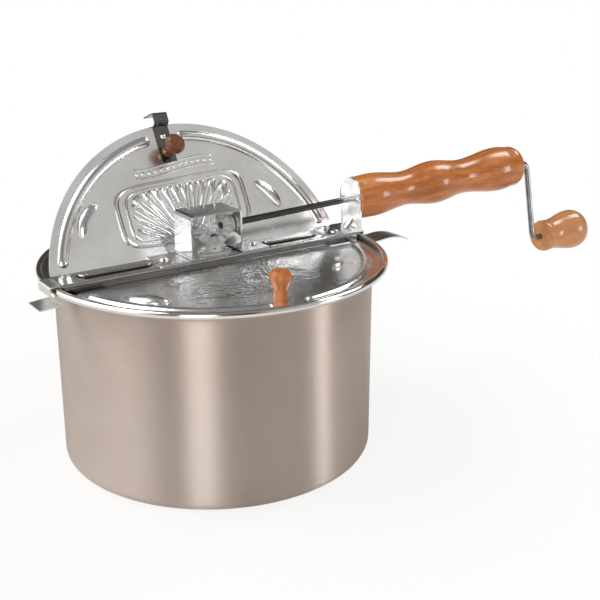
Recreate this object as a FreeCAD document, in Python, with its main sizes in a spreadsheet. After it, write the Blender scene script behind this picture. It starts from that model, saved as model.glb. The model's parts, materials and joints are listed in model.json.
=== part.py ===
import FreeCAD, Part
import math
import os

import Sketcher
from FreeCAD import Placement, Rotation, Vector

# A stovetop popcorn popper in millimetres. The origin is the centre of the
# pot's underside, +X runs along the crossbar towards the handle, the front
# lid is on the -Y side, the back lid on the +Y side, and +Z is up.

DOC = FreeCAD.newDocument("PopcornPopper")
SHEET = DOC.addObject("Spreadsheet::Sheet", "Sizes")

SIZES = (
    # Pot
    ("rim_overhang", 11.5, "from the wall out to the rolled rim's outside"),
    ("rim_top", 144.2, "top of the rolled rim above the table"),
    ("rim_roll_radius", 2.4, "radius of the roll at the rim"),
    ("pot_radius", 113.5, "outside of the wall"),
    ("pot_wall", 1.2, "sheet of the wall and ledge"),
    ("pot_floor", 1.5, "thickness of the floor"),
    ("pot_corner_radius", 7.0, "outside bend between floor and wall"),
    ("ledge_level", 139.2, "top of the ledge that the lids close on"),
    ("ledge_bend", 4.7, "inside bend between wall and ledge"),
    # Clearances
    ("running_gap", 0.06, "round a shaft or pin that turns"),
    ("seat_gap", 0.3, "between a lid and what it rests on"),
    ("clip_gap", 0.4, "above and below a clip where it crosses the rim"),
    ("side_gap", 0.7, "between moving and fixed pieces side by side"),
    # Crossbar
    ("bar_width", 25.0, "width over the two flanges"),
    ("bar_sheet", 1.5, "sheet of the crossbar"),
    ("bar_end_gap", 1.7, "from the end of the bar to the rolled rim"),
    ("bar_bend", 2.5, "outside bend between top and flange"),
    ("flange_end_gap", 1.8, "from the deep flange to the pot wall"),
    ("rib_width", 9.0, "width of the raised ribs"),
    ("rib_height", 1.8, "height of the raised ribs"),
    ("left_rib_inset", 15.0, "from the bar's left end to the left rib"),
    ("right_rib_inset", 32.5, "from the bar's right end to the right rib"),
    ("left_rib_inner_end", 50.0, "inner end of the left rib"),
    ("right_rib_inner_end", 42.0, "inner end of the right rib"),
    # Hinges
    ("pin_radius", 1.2, "hinge pin"),
    ("pin_head_radius", 2.0, "peened ends of the hinge pins"),
    ("pin_head_height", 0.9, "thickness of the peened ends"),
    ("pin_end_gap", 0.77, "from the pot wall to the ends of the hinge pins"),
    ("knuckle_length", 18.5, "length of each knuckle on the crossbar"),
    ("knuckle_sheet", 1.1, "sheet of the knuckles"),
    # Lids
    ("lid_sheet", 1.0, "sheet of the lids"),
    ("lid_edge_gap", 1.4, "from the lid edge to the rolled rim"),
    ("lid_notch", 3.0, "how far the lid is cut back beside the knuckles"),
    ("bead_offset", 9.5, "from the lid edge to the middle of the bead"),
    ("bead_half_width", 4.0, "half the width of the bead"),
    ("bead_height", 2.2, "height of the bead"),
    ("bead_start_angle", 15.5, "from the hinge line to the end of the bead"),
    ("bead_gap", 15.5, "half the gap in the bead beside the knob"),
    ("vent_offset", 28.3, "from the lid edge to the open side of a vent"),
    ("vent_angle", 37.0, "from the hinge line to a vent"),
    ("vent_half_length", 14.0, "half the length of a vent hood"),
    ("vent_depth", 8.0, "width of a vent hood"),
    ("vent_height", 4.2, "height of a vent hood"),
    ("back_lid_angle", 60.0, "how far the back lid stands open"),
    ("lid_shift", 6.5, "from the shaft to the knobs and vents, towards the left"),
    # Lid knobs
    ("lid_knob_inset", 14.3, "from the pot's wall in to a lid knob"),
    ("lid_knob_radius", 7.6, "widest radius of a lid knob"),
    ("lid_knob_neck", 4.7, "radius of its neck"),
    ("lid_knob_foot", 4.9, "radius of its foot"),
    ("lid_knob_height", 19.0, "height of a lid knob"),
    ("lid_knob_foot_height", 1.6, "height of its foot"),
    ("lid_knob_neck_height", 6.4, "height at which the neck ends"),
    ("lid_knob_swell_height", 12.4, "height at which the swell ends"),
    ("lid_knob_widest_height", 15.2, "height of its widest part"),
    ("lid_knob_top", 5.4, "radius of its flat top"),
    ("lid_screw_radius", 1.5, "shank of the lid knob's screw"),
    ("lid_screw_length", 13.0, "depth of the screw in the knob"),
    ("lid_screw_head_radius", 3.5, "head under the lid"),
    ("lid_screw_head_height", 1.8, "thickness of that head"),
    # Catch on the back lid
    ("catch_width", 11.5, "width of the catch strip"),
    ("catch_sheet", 1.0, "sheet of the catch strip"),
    ("catch_tail", 8.2, "from the knob to the inner end of the strip"),
    ("catch_drop", 14.5, "depth of the leg outside the rim"),
    ("catch_reach", 0.8, "from the rolled rim to the leg"),
    ("catch_flare", 2.8, "how far the leg leans outwards at its end"),
    # Clips
    ("clip_width", 20.0, "width of the clips"),
    ("clip_sheet", 1.0, "sheet of the clips"),
    ("clip_tail", 24.0, "length of the leaf under the crossbar"),
    ("clip_reach", 1.6, "from the rolled rim to the outer leg"),
    ("clip_leg", 5.0, "straight part of the outer leg below the rim's top"),
    ("clip_hook_drop", 11.7, "from the rim's top to the hook's crease"),
    ("clip_hook_depth", 8.5, "how far the hook reaches under the rim"),
    ("left_tab_length", 17.0, "length of the left clip's tab"),
    ("left_tab_drop", 1.6, "how far that tab slopes down"),
    ("right_tab_rise", 42.5, "from the crease to the crest of the right lever"),
    ("right_tab_crest", 3.4, "height of the crest above the crease"),
    ("right_tab_length", 54.5, "length of the right lever"),
    ("right_tab_drop", 1.2, "how far its tip falls below the crease"),
    # Rivets
    ("rivet_radius", 1.6, "shank of the rivets"),
    ("rivet_head_radius", 3.4, "head of the rivets"),
    ("rivet_head_height", 1.9, "height of the rivet heads"),
    ("small_rivet_radius", 1.1, "shank of the small rivets"),
    ("small_head_radius", 2.2, "head of the small rivets"),
    ("small_head_height", 1.4, "height of the small heads"),
    ("flush_head_radius", 2.6, "flush head of the left clip's rivet"),
    ("flush_head_depth", 0.6, "depth of that head in the crossbar"),
    ("left_rivet_inset", 8.0, "from the bar's left end to that rivet"),
    ("left_bracket_rivet", 40.0, "gear bracket's left rivet from the shaft"),
    ("right_bracket_rivet", 32.0, "gear bracket's right rivet from the shaft"),
    ("handle_rivet_inset", 16.5, "from the bar's right end to the handle bracket's rivets"),
    ("handle_rivet_spacing", 13.0, "between the handle bracket's rivets"),
    ("bushing_rivet", 10.6, "bushing's rivets from the shaft"),
    # Crank, handle and gears
    ("axis_level", 164.9, "where the crank's line crosses the shaft"),
    ("rod_tilt", 2.0, "rise of the crank's line towards the handle"),
    ("rod_radius", 2.38, "crank wire and stirring shaft"),
    ("rod_bend", 6.0, "bend of the crank wire"),
    ("rod_start", 5.2, "from the shaft's line to the start of the rod"),
    ("arm_gap", 15.8, "from the handle's end to the crank arm"),
    ("arm_length", 66.5, "from the rod to the crank's pin"),
    ("arm_angle", 10.0, "how far the arm is turned to the front"),
    ("bracket_sheet", 1.3, "sheet of both brackets"),
    ("bracket_bend", 3.2, "outside bends of the gear bracket"),
    ("bracket_left", 24.5, "gear bracket's left side from the shaft"),
    ("bracket_rise", 13.6, "gear bracket's top above the crank's line"),
    ("left_foot", 23.0, "length of the gear bracket's left foot"),
    ("right_foot", 22.5, "length of the gear bracket's right foot"),
    ("handle_set", 4.3, "from the bar's right end to the handle along the rod"),
    ("handle_foot", 31.0, "length of the handle bracket's foot"),
    ("handle_plate_rise", 16.5, "handle bracket's top above the rod"),
    ("handle_length", 171.7, "length of the handle"),
    ("handle_face_radius", 15.9, "radius of the face at the bracket"),
    ("handle_edge_radius", 16.4, "radius behind that face"),
    ("handle_first_swell", 16.8, "radius of the first swell"),
    ("handle_first_neck", 13.5, "radius of the first hollow"),
    ("handle_second_swell", 17.2, "radius of the second swell"),
    ("handle_second_neck", 13.9, "radius of the second hollow"),
    ("handle_third_swell", 18.2, "radius of the third swell"),
    ("handle_shoulder_radius", 16.7, "radius at the end's shoulder"),
    ("handle_end_radius", 13.4, "radius of the end face"),
    ("handle_bore", 3.0, "radius of the bore through the handle"),
    ("handle_screw_spacing", 18.0, "between the handle's screws"),
    ("handle_screw_radius", 1.6, "shank of the handle's screws"),
    ("handle_screw_length", 16.0, "depth of the screws in the handle"),
    ("handle_screw_head", 2.9, "head radius of the handle's screws"),
    ("handle_screw_head_height", 1.7, "height of those heads"),
    ("knob_gap", 7.3, "from the crank arm to its knob"),
    ("knob_length", 50.5, "length of the crank knob"),
    ("knob_face_radius", 12.6, "radius of its face at the arm"),
    ("knob_edge_radius", 13.5, "radius behind that face"),
    ("knob_neck_radius", 13.2, "radius of its hollow"),
    ("knob_swell_radius", 17.2, "radius of its swell"),
    ("knob_dome_radius", 12.6, "radius where its dome steepens"),
    ("knob_bore_depth", 42.0, "depth of the bore in the crank knob"),
    ("gear_radius", 9.6, "pitch radius of both gears at the large end"),
    ("gear_teeth", 8.0, "teeth on each gear"),
    ("gear_face", 5.5, "length of the teeth"),
    ("gear_addendum", 2.0, "tooth height outside the pitch cone"),
    ("gear_dedendum", 2.5, "tooth depth inside the pitch cone"),
    ("gear_backlash", 0.6, "play between the teeth"),
    ("pressure_angle", 25.0, "slope of the tooth flanks"),
    ("hub_radius", 6.2, "hub of the gears"),
    ("drive_hub_end", 14.5, "from the shaft's line to the end of the drive hub"),
    ("gear_pin_radius", 0.8, "pins through the gears"),
    ("bushing_flange", 1.2, "thickness of the bushing's flange"),
    ("bushing_flange_width", 13.0, "width of the bushing's flange"),
    ("bushing_flange_length", 27.0, "length of the bushing's flange"),
    ("bushing_radius", 4.2, "barrel of the bushing"),
    ("bushing_depth", 6.5, "how far the barrel reaches below the bar"),
    ("ring_radius", 4.6, "retaining ring"),
    ("ring_height", 1.4, "thickness of the retaining ring"),
    ("shaft_end_gap", 0.7, "from the shaft to the pot's floor"),
    ("wire_radius", 1.5, "stirring wire"),
    ("wire_floor_gap", 1.5, "from the wire to the pot's floor"),
    ("wire_straight", 14.0, "straight half of the wire at the shaft"),
    ("wire_curve", 52.0, "radius of the wire's curve in plan"),
    ("wire_sweep_angle", 84.0, "how far the wire curves round"),
    ("wire_bend", 6.0, "bend at the ends of the wire"),
    ("wire_upturn", 9.0, "length of the upturned ends"),
)


class Size:
    """A length or angle: its value and the expression that gives it."""

    def __init__(self, text, value):
        self.text = text
        self.value = value

    def combine(self, other, sign, value):
        return Size("(%s %s %s)" % (self.text, sign, other.text), value)

    def __add__(self, other):
        other = as_size(other)
        return self.combine(other, "+", self.value + other.value)

    def __sub__(self, other):
        other = as_size(other)
        return self.combine(other, "-", self.value - other.value)

    def __mul__(self, other):
        other = as_size(other)
        return self.combine(other, "*", self.value * other.value)

    def __truediv__(self, other):
        other = as_size(other)
        return self.combine(other, "/", self.value / other.value)

    def __neg__(self):
        return Size("(0 - %s)" % self.text, -self.value)

    def __radd__(self, other):
        return as_size(other) + self

    def __rsub__(self, other):
        return as_size(other) - self

    def __rmul__(self, other):
        return as_size(other) * self

    def __rtruediv__(self, other):
        return as_size(other) / self

    def __float__(self):
        return float(self.value)


def as_size(value):
    """A plain number as a Size, and a Size as it is."""
    if isinstance(value, Size):
        return value
    return Size(repr(float(value)), float(value))


def sine(angle):
    angle = as_size(angle)
    return Size("sin(%s)" % angle.text, math.sin(math.radians(angle.value)))


def cosine(angle):
    angle = as_size(angle)
    return Size("cos(%s)" % angle.text, math.cos(math.radians(angle.value)))


def tangent(angle):
    angle = as_size(angle)
    return Size("tan(%s)" % angle.text, math.tan(math.radians(angle.value)))


def root(value):
    value = as_size(value)
    return Size("sqrt(%s)" % value.text, math.sqrt(value.value))


class Table:
    """The driving sizes by name, each bound to its cell of the sheet."""


def fill_sheet():
    """Writes each size and its meaning to the sheet and returns them by name."""
    table = Table()
    for index, (name, value, meaning) in enumerate(SIZES):
        row = index + 1
        SHEET.set("A%d" % row, meaning)
        SHEET.set("B%d" % row, repr(value))
        SHEET.setAlias("B%d" % row, name)
        setattr(table, name, Size("Sizes." + name, value))
    DOC.recompute()
    return table


S = fill_sheet()

# Levels and radii that several pieces share.
RIM_RADIUS = S.pot_radius + S.rim_overhang
LEDGE_EDGE = RIM_RADIUS - 2 * S.rim_roll_radius
POT_INSIDE = S.pot_radius - S.pot_wall
BAR_TOP = S.rim_top + 2 * S.clip_gap + S.clip_sheet
BAR_UNDER = BAR_TOP - S.bar_sheet
BAR_HALF = LEDGE_EDGE - S.bar_end_gap
LID_BOTTOM = S.ledge_level + S.seat_gap
LID_TOP = LID_BOTTOM + S.lid_sheet
LID_RADIUS = LEDGE_EDGE - S.lid_edge_gap
BORE = S.pin_radius + S.running_gap
CURL = BORE + S.lid_sheet
HINGE_LEVEL = LID_TOP - CURL
HINGE_OFFSET = S.bar_width / 2 + CURL + S.side_gap
KNOB_OFFSET = POT_INSIDE - S.lid_knob_inset
HANDLE_START = BAR_HALF + S.handle_set
ARM_REACH = HANDLE_START + S.handle_length + S.arm_gap
LEFT_RIVET = S.left_rivet_inset - BAR_HALF
HANDLE_RIVET = BAR_HALF - S.handle_rivet_inset
SHAFT_BORE = S.rod_radius + S.running_gap
GEAR_ANGLE = (90 + S.rod_tilt) / 2
GEAR_CONE = S.gear_radius / sine(GEAR_ANGLE)
BUSHING_TOP = BAR_TOP + S.bushing_flange
DRIVEN_HUB_END = S.axis_level - BUSHING_TOP - S.clip_gap
BRACKET_RIGHT = S.drive_hub_end + S.side_gap + S.bracket_sheet
PIN_SIDE = HINGE_OFFSET + S.pin_head_radius
PIN_END = root(POT_INSIDE * POT_INSIDE - PIN_SIDE * PIN_SIDE) - S.pin_end_gap
KNUCKLE_END = PIN_END - S.pin_head_height - S.running_gap
KNUCKLE_START = KNUCKLE_END - S.knuckle_length
CURL_HALF = KNUCKLE_START - S.side_gap

# The crank's line starts at the crossing with the shaft and rises to the
# handle, and the crank's own line is turned about it by the arm's angle.
APEX = Vector(0, 0, float(S.axis_level))
RISE = Rotation(Vector(0, 1, 0), -float(S.rod_tilt))
ROD_LINE = Placement(APEX, RISE)
CRANK_LINE = Placement(APEX, RISE.multiply(Rotation(Vector(1, 0, 0), -float(S.arm_angle))))


def body(name):
    """An empty body whose label names its node."""
    item = DOC.addObject("PartDesign::Body", name)
    item.Label = name
    return item


def plane(item, role):
    """One of a body's own origin planes."""
    found = [part for part in item.Origin.OriginFeatures if part.Role == role]
    return found[0]


def sketch_on(item, role, lift=None, turn=None):
    """A sketch on one of the body's planes, lifted off it or turned in it."""
    sketch = item.newObject("Sketcher::SketchObject", item.Name + "_sketch")
    sketch.AttachmentSupport = [(plane(item, role), "")]
    sketch.MapMode = "FlatFace"
    if turn is not None:
        sketch.AttachmentOffset = turn
    if lift is not None:
        sketch.setExpression(".AttachmentOffset.Base.z", as_size(lift).text)
    return sketch


def corner(x, y, bend=None):
    """A point of an outline, rounded where it has a bend radius."""
    return {"x": as_size(x), "y": as_size(y), "bend": bend, "arc": None, "left": True}


def arc_to(radius, left=True):
    """Marks that an arc leaves the last point, turning left or right."""
    return {"radius": as_size(radius), "left": left}


def gather(steps):
    """Joins each arc mark to the point that it leaves."""
    points = []
    for step in steps:
        if "radius" in step:
            points[-1]["arc"] = step["radius"]
            points[-1]["left"] = step["left"]
        else:
            points.append(step)
    return points


def at(point):
    return Vector(point["x"].value, point["y"].value, 0)


def arc_edge(start, end, radius, left):
    """An arc under a half turn as sketch geometry, and which end starts it."""
    chord = end - start
    half = chord.Length / 2
    across = Vector(-chord.y, chord.x, 0).normalize()
    sagitta = math.sqrt(max(radius * radius - half * half, 0.0))
    side = 1 if left else -1
    centre = (start + end) * 0.5 + across * (sagitta * side)
    first = start if left else end
    last = end if left else start
    begin = math.atan2(first.y - centre.y, first.x - centre.x)
    finish = math.atan2(last.y - centre.y, last.x - centre.x)
    if finish < begin:
        finish += 2 * math.pi
    circle = Part.Circle(centre, Vector(0, 0, 1), radius)
    return Part.ArcOfCircle(circle, begin, finish), (1, 2) if left else (2, 1)


class Outline:
    """One closed wire of lines and arcs whose every point is bound to sizes."""

    def __init__(self, sketch, steps):
        self.sketch = sketch
        self.points = gather(steps)
        self.geometry = []
        self.rules = []
        self.texts = []
        self.first = sketch.GeometryCount
        self.draw()

    def place(self, geometry, vertex, point):
        """Fixes a vertex at a point's two sizes, measured from the origin."""
        for axis, size, line in (("X", point["x"], -2), ("Y", point["y"], -1)):
            if size.value == 0 and size.text == "0.0":
                rule = Sketcher.Constraint("PointOnObject", geometry, vertex, line)
                self.rules.append(rule)
                self.texts.append(None)
                continue
            name = "Distance" + axis
            rule = Sketcher.Constraint(name, -1, 1, geometry, vertex, size.value)
            self.rules.append(rule)
            self.texts.append(size.text)

    def add(self, rule, text=None):
        self.rules.append(rule)
        self.texts.append(text)

    def draw(self):
        count = len(self.points)
        touch = []
        for index, point in enumerate(self.points):
            here = at(point)
            if point["bend"] is None:
                touch.append((here, here, None))
                continue
            back = (at(self.points[index - 1]) - here).normalize()
            ahead = (at(self.points[(index + 1) % count]) - here).normalize()
            half = back.getAngle(ahead) / 2
            radius = as_size(point["bend"]).value
            reach = radius / math.tan(half)
            middle = (back + ahead).normalize()
            centre = here + middle * (radius / math.sin(half))
            touch.append((here + back * reach, here + ahead * reach, centre))
        edges = []
        for index, point in enumerate(self.points):
            start = touch[index][1]
            end = touch[(index + 1) % count][0]
            number = self.first + len(self.geometry)
            if point["arc"] is None:
                self.geometry.append(Part.LineSegment(start, end))
                edges.append((number, 1, 2))
            else:
                made, ends = arc_edge(start, end, point["arc"].value, point["left"])
                self.geometry.append(made)
                edges.append((number, ends[0], ends[1]))
                self.add(Sketcher.Constraint("Radius", number, point["arc"].value),
                         point["arc"].text)
        marks = []
        for index, point in enumerate(self.points):
            before = edges[index - 1]
            after = edges[index]
            if point["bend"] is None:
                self.add(Sketcher.Constraint("Coincident", before[0], before[2],
                                             after[0], after[1]))
                self.place(after[0], after[1], point)
                continue
            start, end, centre = touch[index]
            radius = as_size(point["bend"])
            turn = (end - centre).cross(start - centre).z < 0
            number = self.first + len(self.geometry)
            made, ends = arc_edge(start, end, radius.value, turn)
            self.geometry.append(made)
            self.add(Sketcher.Constraint("Tangent", before[0], before[2], number, ends[0]))
            self.add(Sketcher.Constraint("Tangent", number, ends[1], after[0], after[1]))
            self.add(Sketcher.Constraint("Radius", number, radius.value), radius.text)
            marks.append((point, before[0], after[0]))
        self.sketch.addGeometry(self.geometry, False)
        first_mark = self.sketch.GeometryCount
        if marks:
            dots = [Part.Point(at(point)) for point, before, after in marks]
            self.sketch.addGeometry(dots, True)
        for offset, (point, before, after) in enumerate(marks):
            number = first_mark + offset
            self.place(number, 1, point)
            self.add(Sketcher.Constraint("PointOnObject", number, 1, before))
            self.add(Sketcher.Constraint("PointOnObject", number, 1, after))
        base = self.sketch.ConstraintCount
        self.sketch.addConstraint(self.rules)
        for offset, text in enumerate(self.texts):
            if text is not None:
                self.sketch.setExpression("Constraints[%d]" % (base + offset), text)


def circle(sketch, x, y, radius):
    """A circle at a point of the sketch."""
    x = as_size(x)
    y = as_size(y)
    radius = as_size(radius)
    number = sketch.GeometryCount
    made = Part.Circle(Vector(x.value, y.value, 0), Vector(0, 0, 1), radius.value)
    sketch.addGeometry(made, False)
    base = sketch.ConstraintCount
    rules = [
        Sketcher.Constraint("Radius", number, radius.value),
        Sketcher.Constraint("DistanceX", -1, 1, number, 3, x.value),
        Sketcher.Constraint("DistanceY", -1, 1, number, 3, y.value),
    ]
    sketch.addConstraint(rules)
    for offset, size in enumerate((radius, x, y)):
        sketch.setExpression("Constraints[%d]" % (base + offset), size.text)


def pad(item, sketch, length, both=False, reverse=False):
    """Extrudes a sketch to a length, to one side or half to each."""
    made = item.newObject("PartDesign::Pad", item.Name + "_pad")
    made.Profile = sketch
    if both:
        made.SideType = "Symmetric"
    made.Reversed = reverse
    made.setExpression("Length", as_size(length).text)
    return made


def pocket(item, sketch, both=False, reverse=False):
    """Cuts a sketch right through the body."""
    made = item.newObject("PartDesign::Pocket", item.Name + "_pocket")
    made.Profile = sketch
    made.Type = "ThroughAll"
    if both:
        made.SideType = "Symmetric"
    made.Reversed = reverse
    return made


def turned(item, sketch, kind="Revolution", axis="V_Axis"):
    """Revolves a sketch a full turn, to add or, as a groove, to cut."""
    made = item.newObject("PartDesign::" + kind, item.Name + "_turn")
    made.Profile = sketch
    made.ReferenceAxis = (sketch, [axis])
    made.Angle = 360
    return made


def spun(name, steps, placement, axis="V_Axis"):
    """A body turned from one profile drawn in its XZ plane."""
    item = body(name)
    sketch = sketch_on(item, "XZ_Plane")
    Outline(sketch, steps)
    turned(item, sketch, "Revolution", axis)
    item.Placement = placement
    return item


def strip(name, steps, width, role="XZ_Plane"):
    """A body of bent strip: its edge drawn in a plane, and its width."""
    item = body(name)
    sketch = sketch_on(item, role)
    Outline(sketch, steps)
    pad(item, sketch, width, both=True)
    return item


def round_edges(item, feature, radius, chosen):
    """Rounds the edges of a feature that a test picks by their middles."""
    DOC.recompute()
    names = []
    for index, edge in enumerate(feature.Shape.Edges):
        if chosen(edge):
            names.append("Edge%d" % (index + 1))
    made = item.newObject("PartDesign::Fillet", item.Name + "_fillet")
    made.Base = (feature, names)
    made.setExpression("Radius", as_size(radius).text)
    return made


def cylinder(name, radius, height, placement):
    """A cylinder along the Z axis of its placement."""
    made = DOC.addObject("Part::Cylinder", name)
    made.setExpression("Radius", as_size(radius).text)
    made.setExpression("Height", as_size(height).text)
    made.Placement = placement
    return made


def joined(name, items):
    """The union of several objects under a node's label."""
    made = DOC.addObject("Part::MultiFuse", name)
    made.Shapes = items
    made.Label = name
    return made


def cut(name, base, tools):
    """A body or primitive with other shapes taken from it."""
    tool = tools[0]
    if len(tools) > 1:
        tool = DOC.addObject("Part::MultiFuse", name + "_tools")
        tool.Shapes = tools
    base.Label = name + "_blank"
    made = DOC.addObject("Part::Cut", name + "_cut")
    made.Base = base
    made.Tool = tool
    made.Label = name
    return made


def shift(x=0, y=0, z=0):
    return Placement(Vector(float(x), float(y), float(z)), Rotation())


NO_TURN = Placement()
ALONG_X = Rotation(Vector(0, 1, 0), 90)
ALONG_Y = Rotation(Vector(1, 0, 0), -90)


def make_pot():
    """The spun pot: flat floor, straight wall, ledge and rolled rim."""
    roll = S.rim_roll_radius
    middle = RIM_RADIUS - roll
    level = S.rim_top - roll
    under = S.ledge_level - S.pot_wall
    steps = [
        corner(0, 0),
        corner(S.pot_radius, 0, S.pot_corner_radius),
        corner(S.pot_radius, under, S.ledge_bend - S.pot_wall),
        corner(LEDGE_EDGE - S.pot_wall, under),
        corner(middle, level - roll),
        arc_to(roll),
        corner(RIM_RADIUS, level),
        arc_to(roll),
        corner(middle, S.rim_top),
        arc_to(roll),
        corner(LEDGE_EDGE, level),
        corner(LEDGE_EDGE, S.ledge_level),
        corner(POT_INSIDE, S.ledge_level, S.ledge_bend),
        corner(POT_INSIDE, S.pot_floor, S.pot_corner_radius - S.pot_wall),
        corner(0, S.pot_floor),
    ]
    return spun("pot", steps, NO_TURN)


def slot(sketch, left, right, width):
    """A slot along X between two ends."""
    half = width / 2
    Outline(sketch, [
        corner(left + half, -half),
        corner(right - half, -half),
        arc_to(half),
        corner(right, 0),
        arc_to(half),
        corner(right - half, half),
        corner(left + half, half),
        arc_to(half),
        corner(left, 0),
        arc_to(half),
    ])


def make_crossbar():
    """The pressed channel across the pot, with ribs and hinge knuckles."""
    item = body("crossbar")
    half = S.bar_width / 2
    inner = half - S.bar_sheet
    deep = HINGE_LEVEL - CURL
    section = sketch_on(item, "YZ_Plane")
    Outline(section, [
        corner(-half, deep),
        corner(-inner, deep),
        corner(-inner, BAR_UNDER, S.bar_bend - S.bar_sheet),
        corner(inner, BAR_UNDER, S.bar_bend - S.bar_sheet),
        corner(inner, deep),
        corner(half, deep),
        corner(half, BAR_TOP, S.bar_bend),
        corner(-half, BAR_TOP, S.bar_bend),
    ])
    pad(item, section, 2 * BAR_HALF, both=True)
    # The flanges step up at both ends and stand on the ledge there.
    step = sketch_on(item, "XZ_Plane")
    reach = POT_INSIDE - S.flange_end_gap
    for side in (-1, 1):
        Outline(step, [
            corner(side * reach, deep - S.bar_sheet),
            corner(side * (BAR_HALF + S.bar_sheet), deep - S.bar_sheet),
            corner(side * (BAR_HALF + S.bar_sheet), S.ledge_level),
            corner(side * reach, S.ledge_level),
        ])
    pocket(item, step, both=True)
    # Raised ribs, with the hollow that pressing leaves beneath them.
    ribs = ((S.left_rib_inset - BAR_HALF, -S.left_rib_inner_end),
            (S.right_rib_inner_end, BAR_HALF - S.right_rib_inset))
    lift = sketch_on(item, "XY_Plane", BAR_TOP)
    for left, right in ribs:
        slot(lift, left, right, S.rib_width)
    ridge = pad(item, lift, S.rib_height)
    top = (BAR_TOP + S.rib_height).value
    round_edges(item, ridge, S.rib_height * 0.8,
                          lambda edge: abs(edge.CenterOfMass.z - top) < 0.001)
    hollow = sketch_on(item, "XY_Plane", BAR_UNDER)
    for left, right in ribs:
        slot(hollow, left + S.bar_sheet, right - S.bar_sheet,
             S.rib_width - 2 * S.bar_sheet)
    press = item.newObject("PartDesign::Pocket", "crossbar_hollow")
    press.Profile = hollow
    press.Reversed = True
    press.setExpression("Length", (S.rib_height * 0.8).text)
    # Knuckles on both flanges hold the hinge pins.
    wall = BORE + S.knuckle_sheet
    for side in (-1, 1):
        for end in (-1, 1):
            middle = side * HINGE_OFFSET
            knuckle = sketch_on(item, "YZ_Plane", end * (KNUCKLE_START + KNUCKLE_END) / 2)
            Outline(knuckle, [
                corner(middle - wall, HINGE_LEVEL),
                arc_to(wall),
                corner(middle, HINGE_LEVEL - wall),
                arc_to(wall),
                corner(middle + wall, HINGE_LEVEL),
                arc_to(wall),
                corner(middle, HINGE_LEVEL + wall),
                arc_to(wall),
            ])
            pad(item, knuckle, S.knuckle_length, both=True)
            web = sketch_on(item, "YZ_Plane", end * (KNUCKLE_START + KNUCKLE_END) / 2)
            Outline(web, [
                corner(side * inner, deep),
                corner(side * HINGE_OFFSET, deep),
                corner(side * HINGE_OFFSET, deep + S.knuckle_sheet),
                corner(side * inner, deep + S.knuckle_sheet),
            ])
            pad(item, web, S.knuckle_length, both=True)
    bores = sketch_on(item, "YZ_Plane")
    circle(bores, -HINGE_OFFSET, HINGE_LEVEL, BORE)
    circle(bores, HINGE_OFFSET, HINGE_LEVEL, BORE)
    pocket(item, bores, both=True)
    # Holes for the bushing and every rivet.
    holes = sketch_on(item, "XY_Plane")
    circle(holes, 0, 0, S.bushing_radius)
    for x in (LEFT_RIVET, -S.left_bracket_rivet, S.right_bracket_rivet):
        circle(holes, x, 0, S.rivet_radius)
    for side in (-1, 1):
        circle(holes, HANDLE_RIVET, side * S.handle_rivet_spacing / 2, S.rivet_radius)
        circle(holes, side * S.bushing_rivet, 0, S.small_rivet_radius)
    pocket(item, holes, both=True)
    seat = sketch_on(item, "XY_Plane", BAR_TOP - S.flush_head_depth)
    circle(seat, LEFT_RIVET, 0, S.flush_head_radius)
    sunk = item.newObject("PartDesign::Pocket", "crossbar_rivet_seat")
    sunk.Profile = seat
    sunk.Reversed = True
    sunk.setExpression("Length", (2 * S.flush_head_depth).text)
    return item


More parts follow.
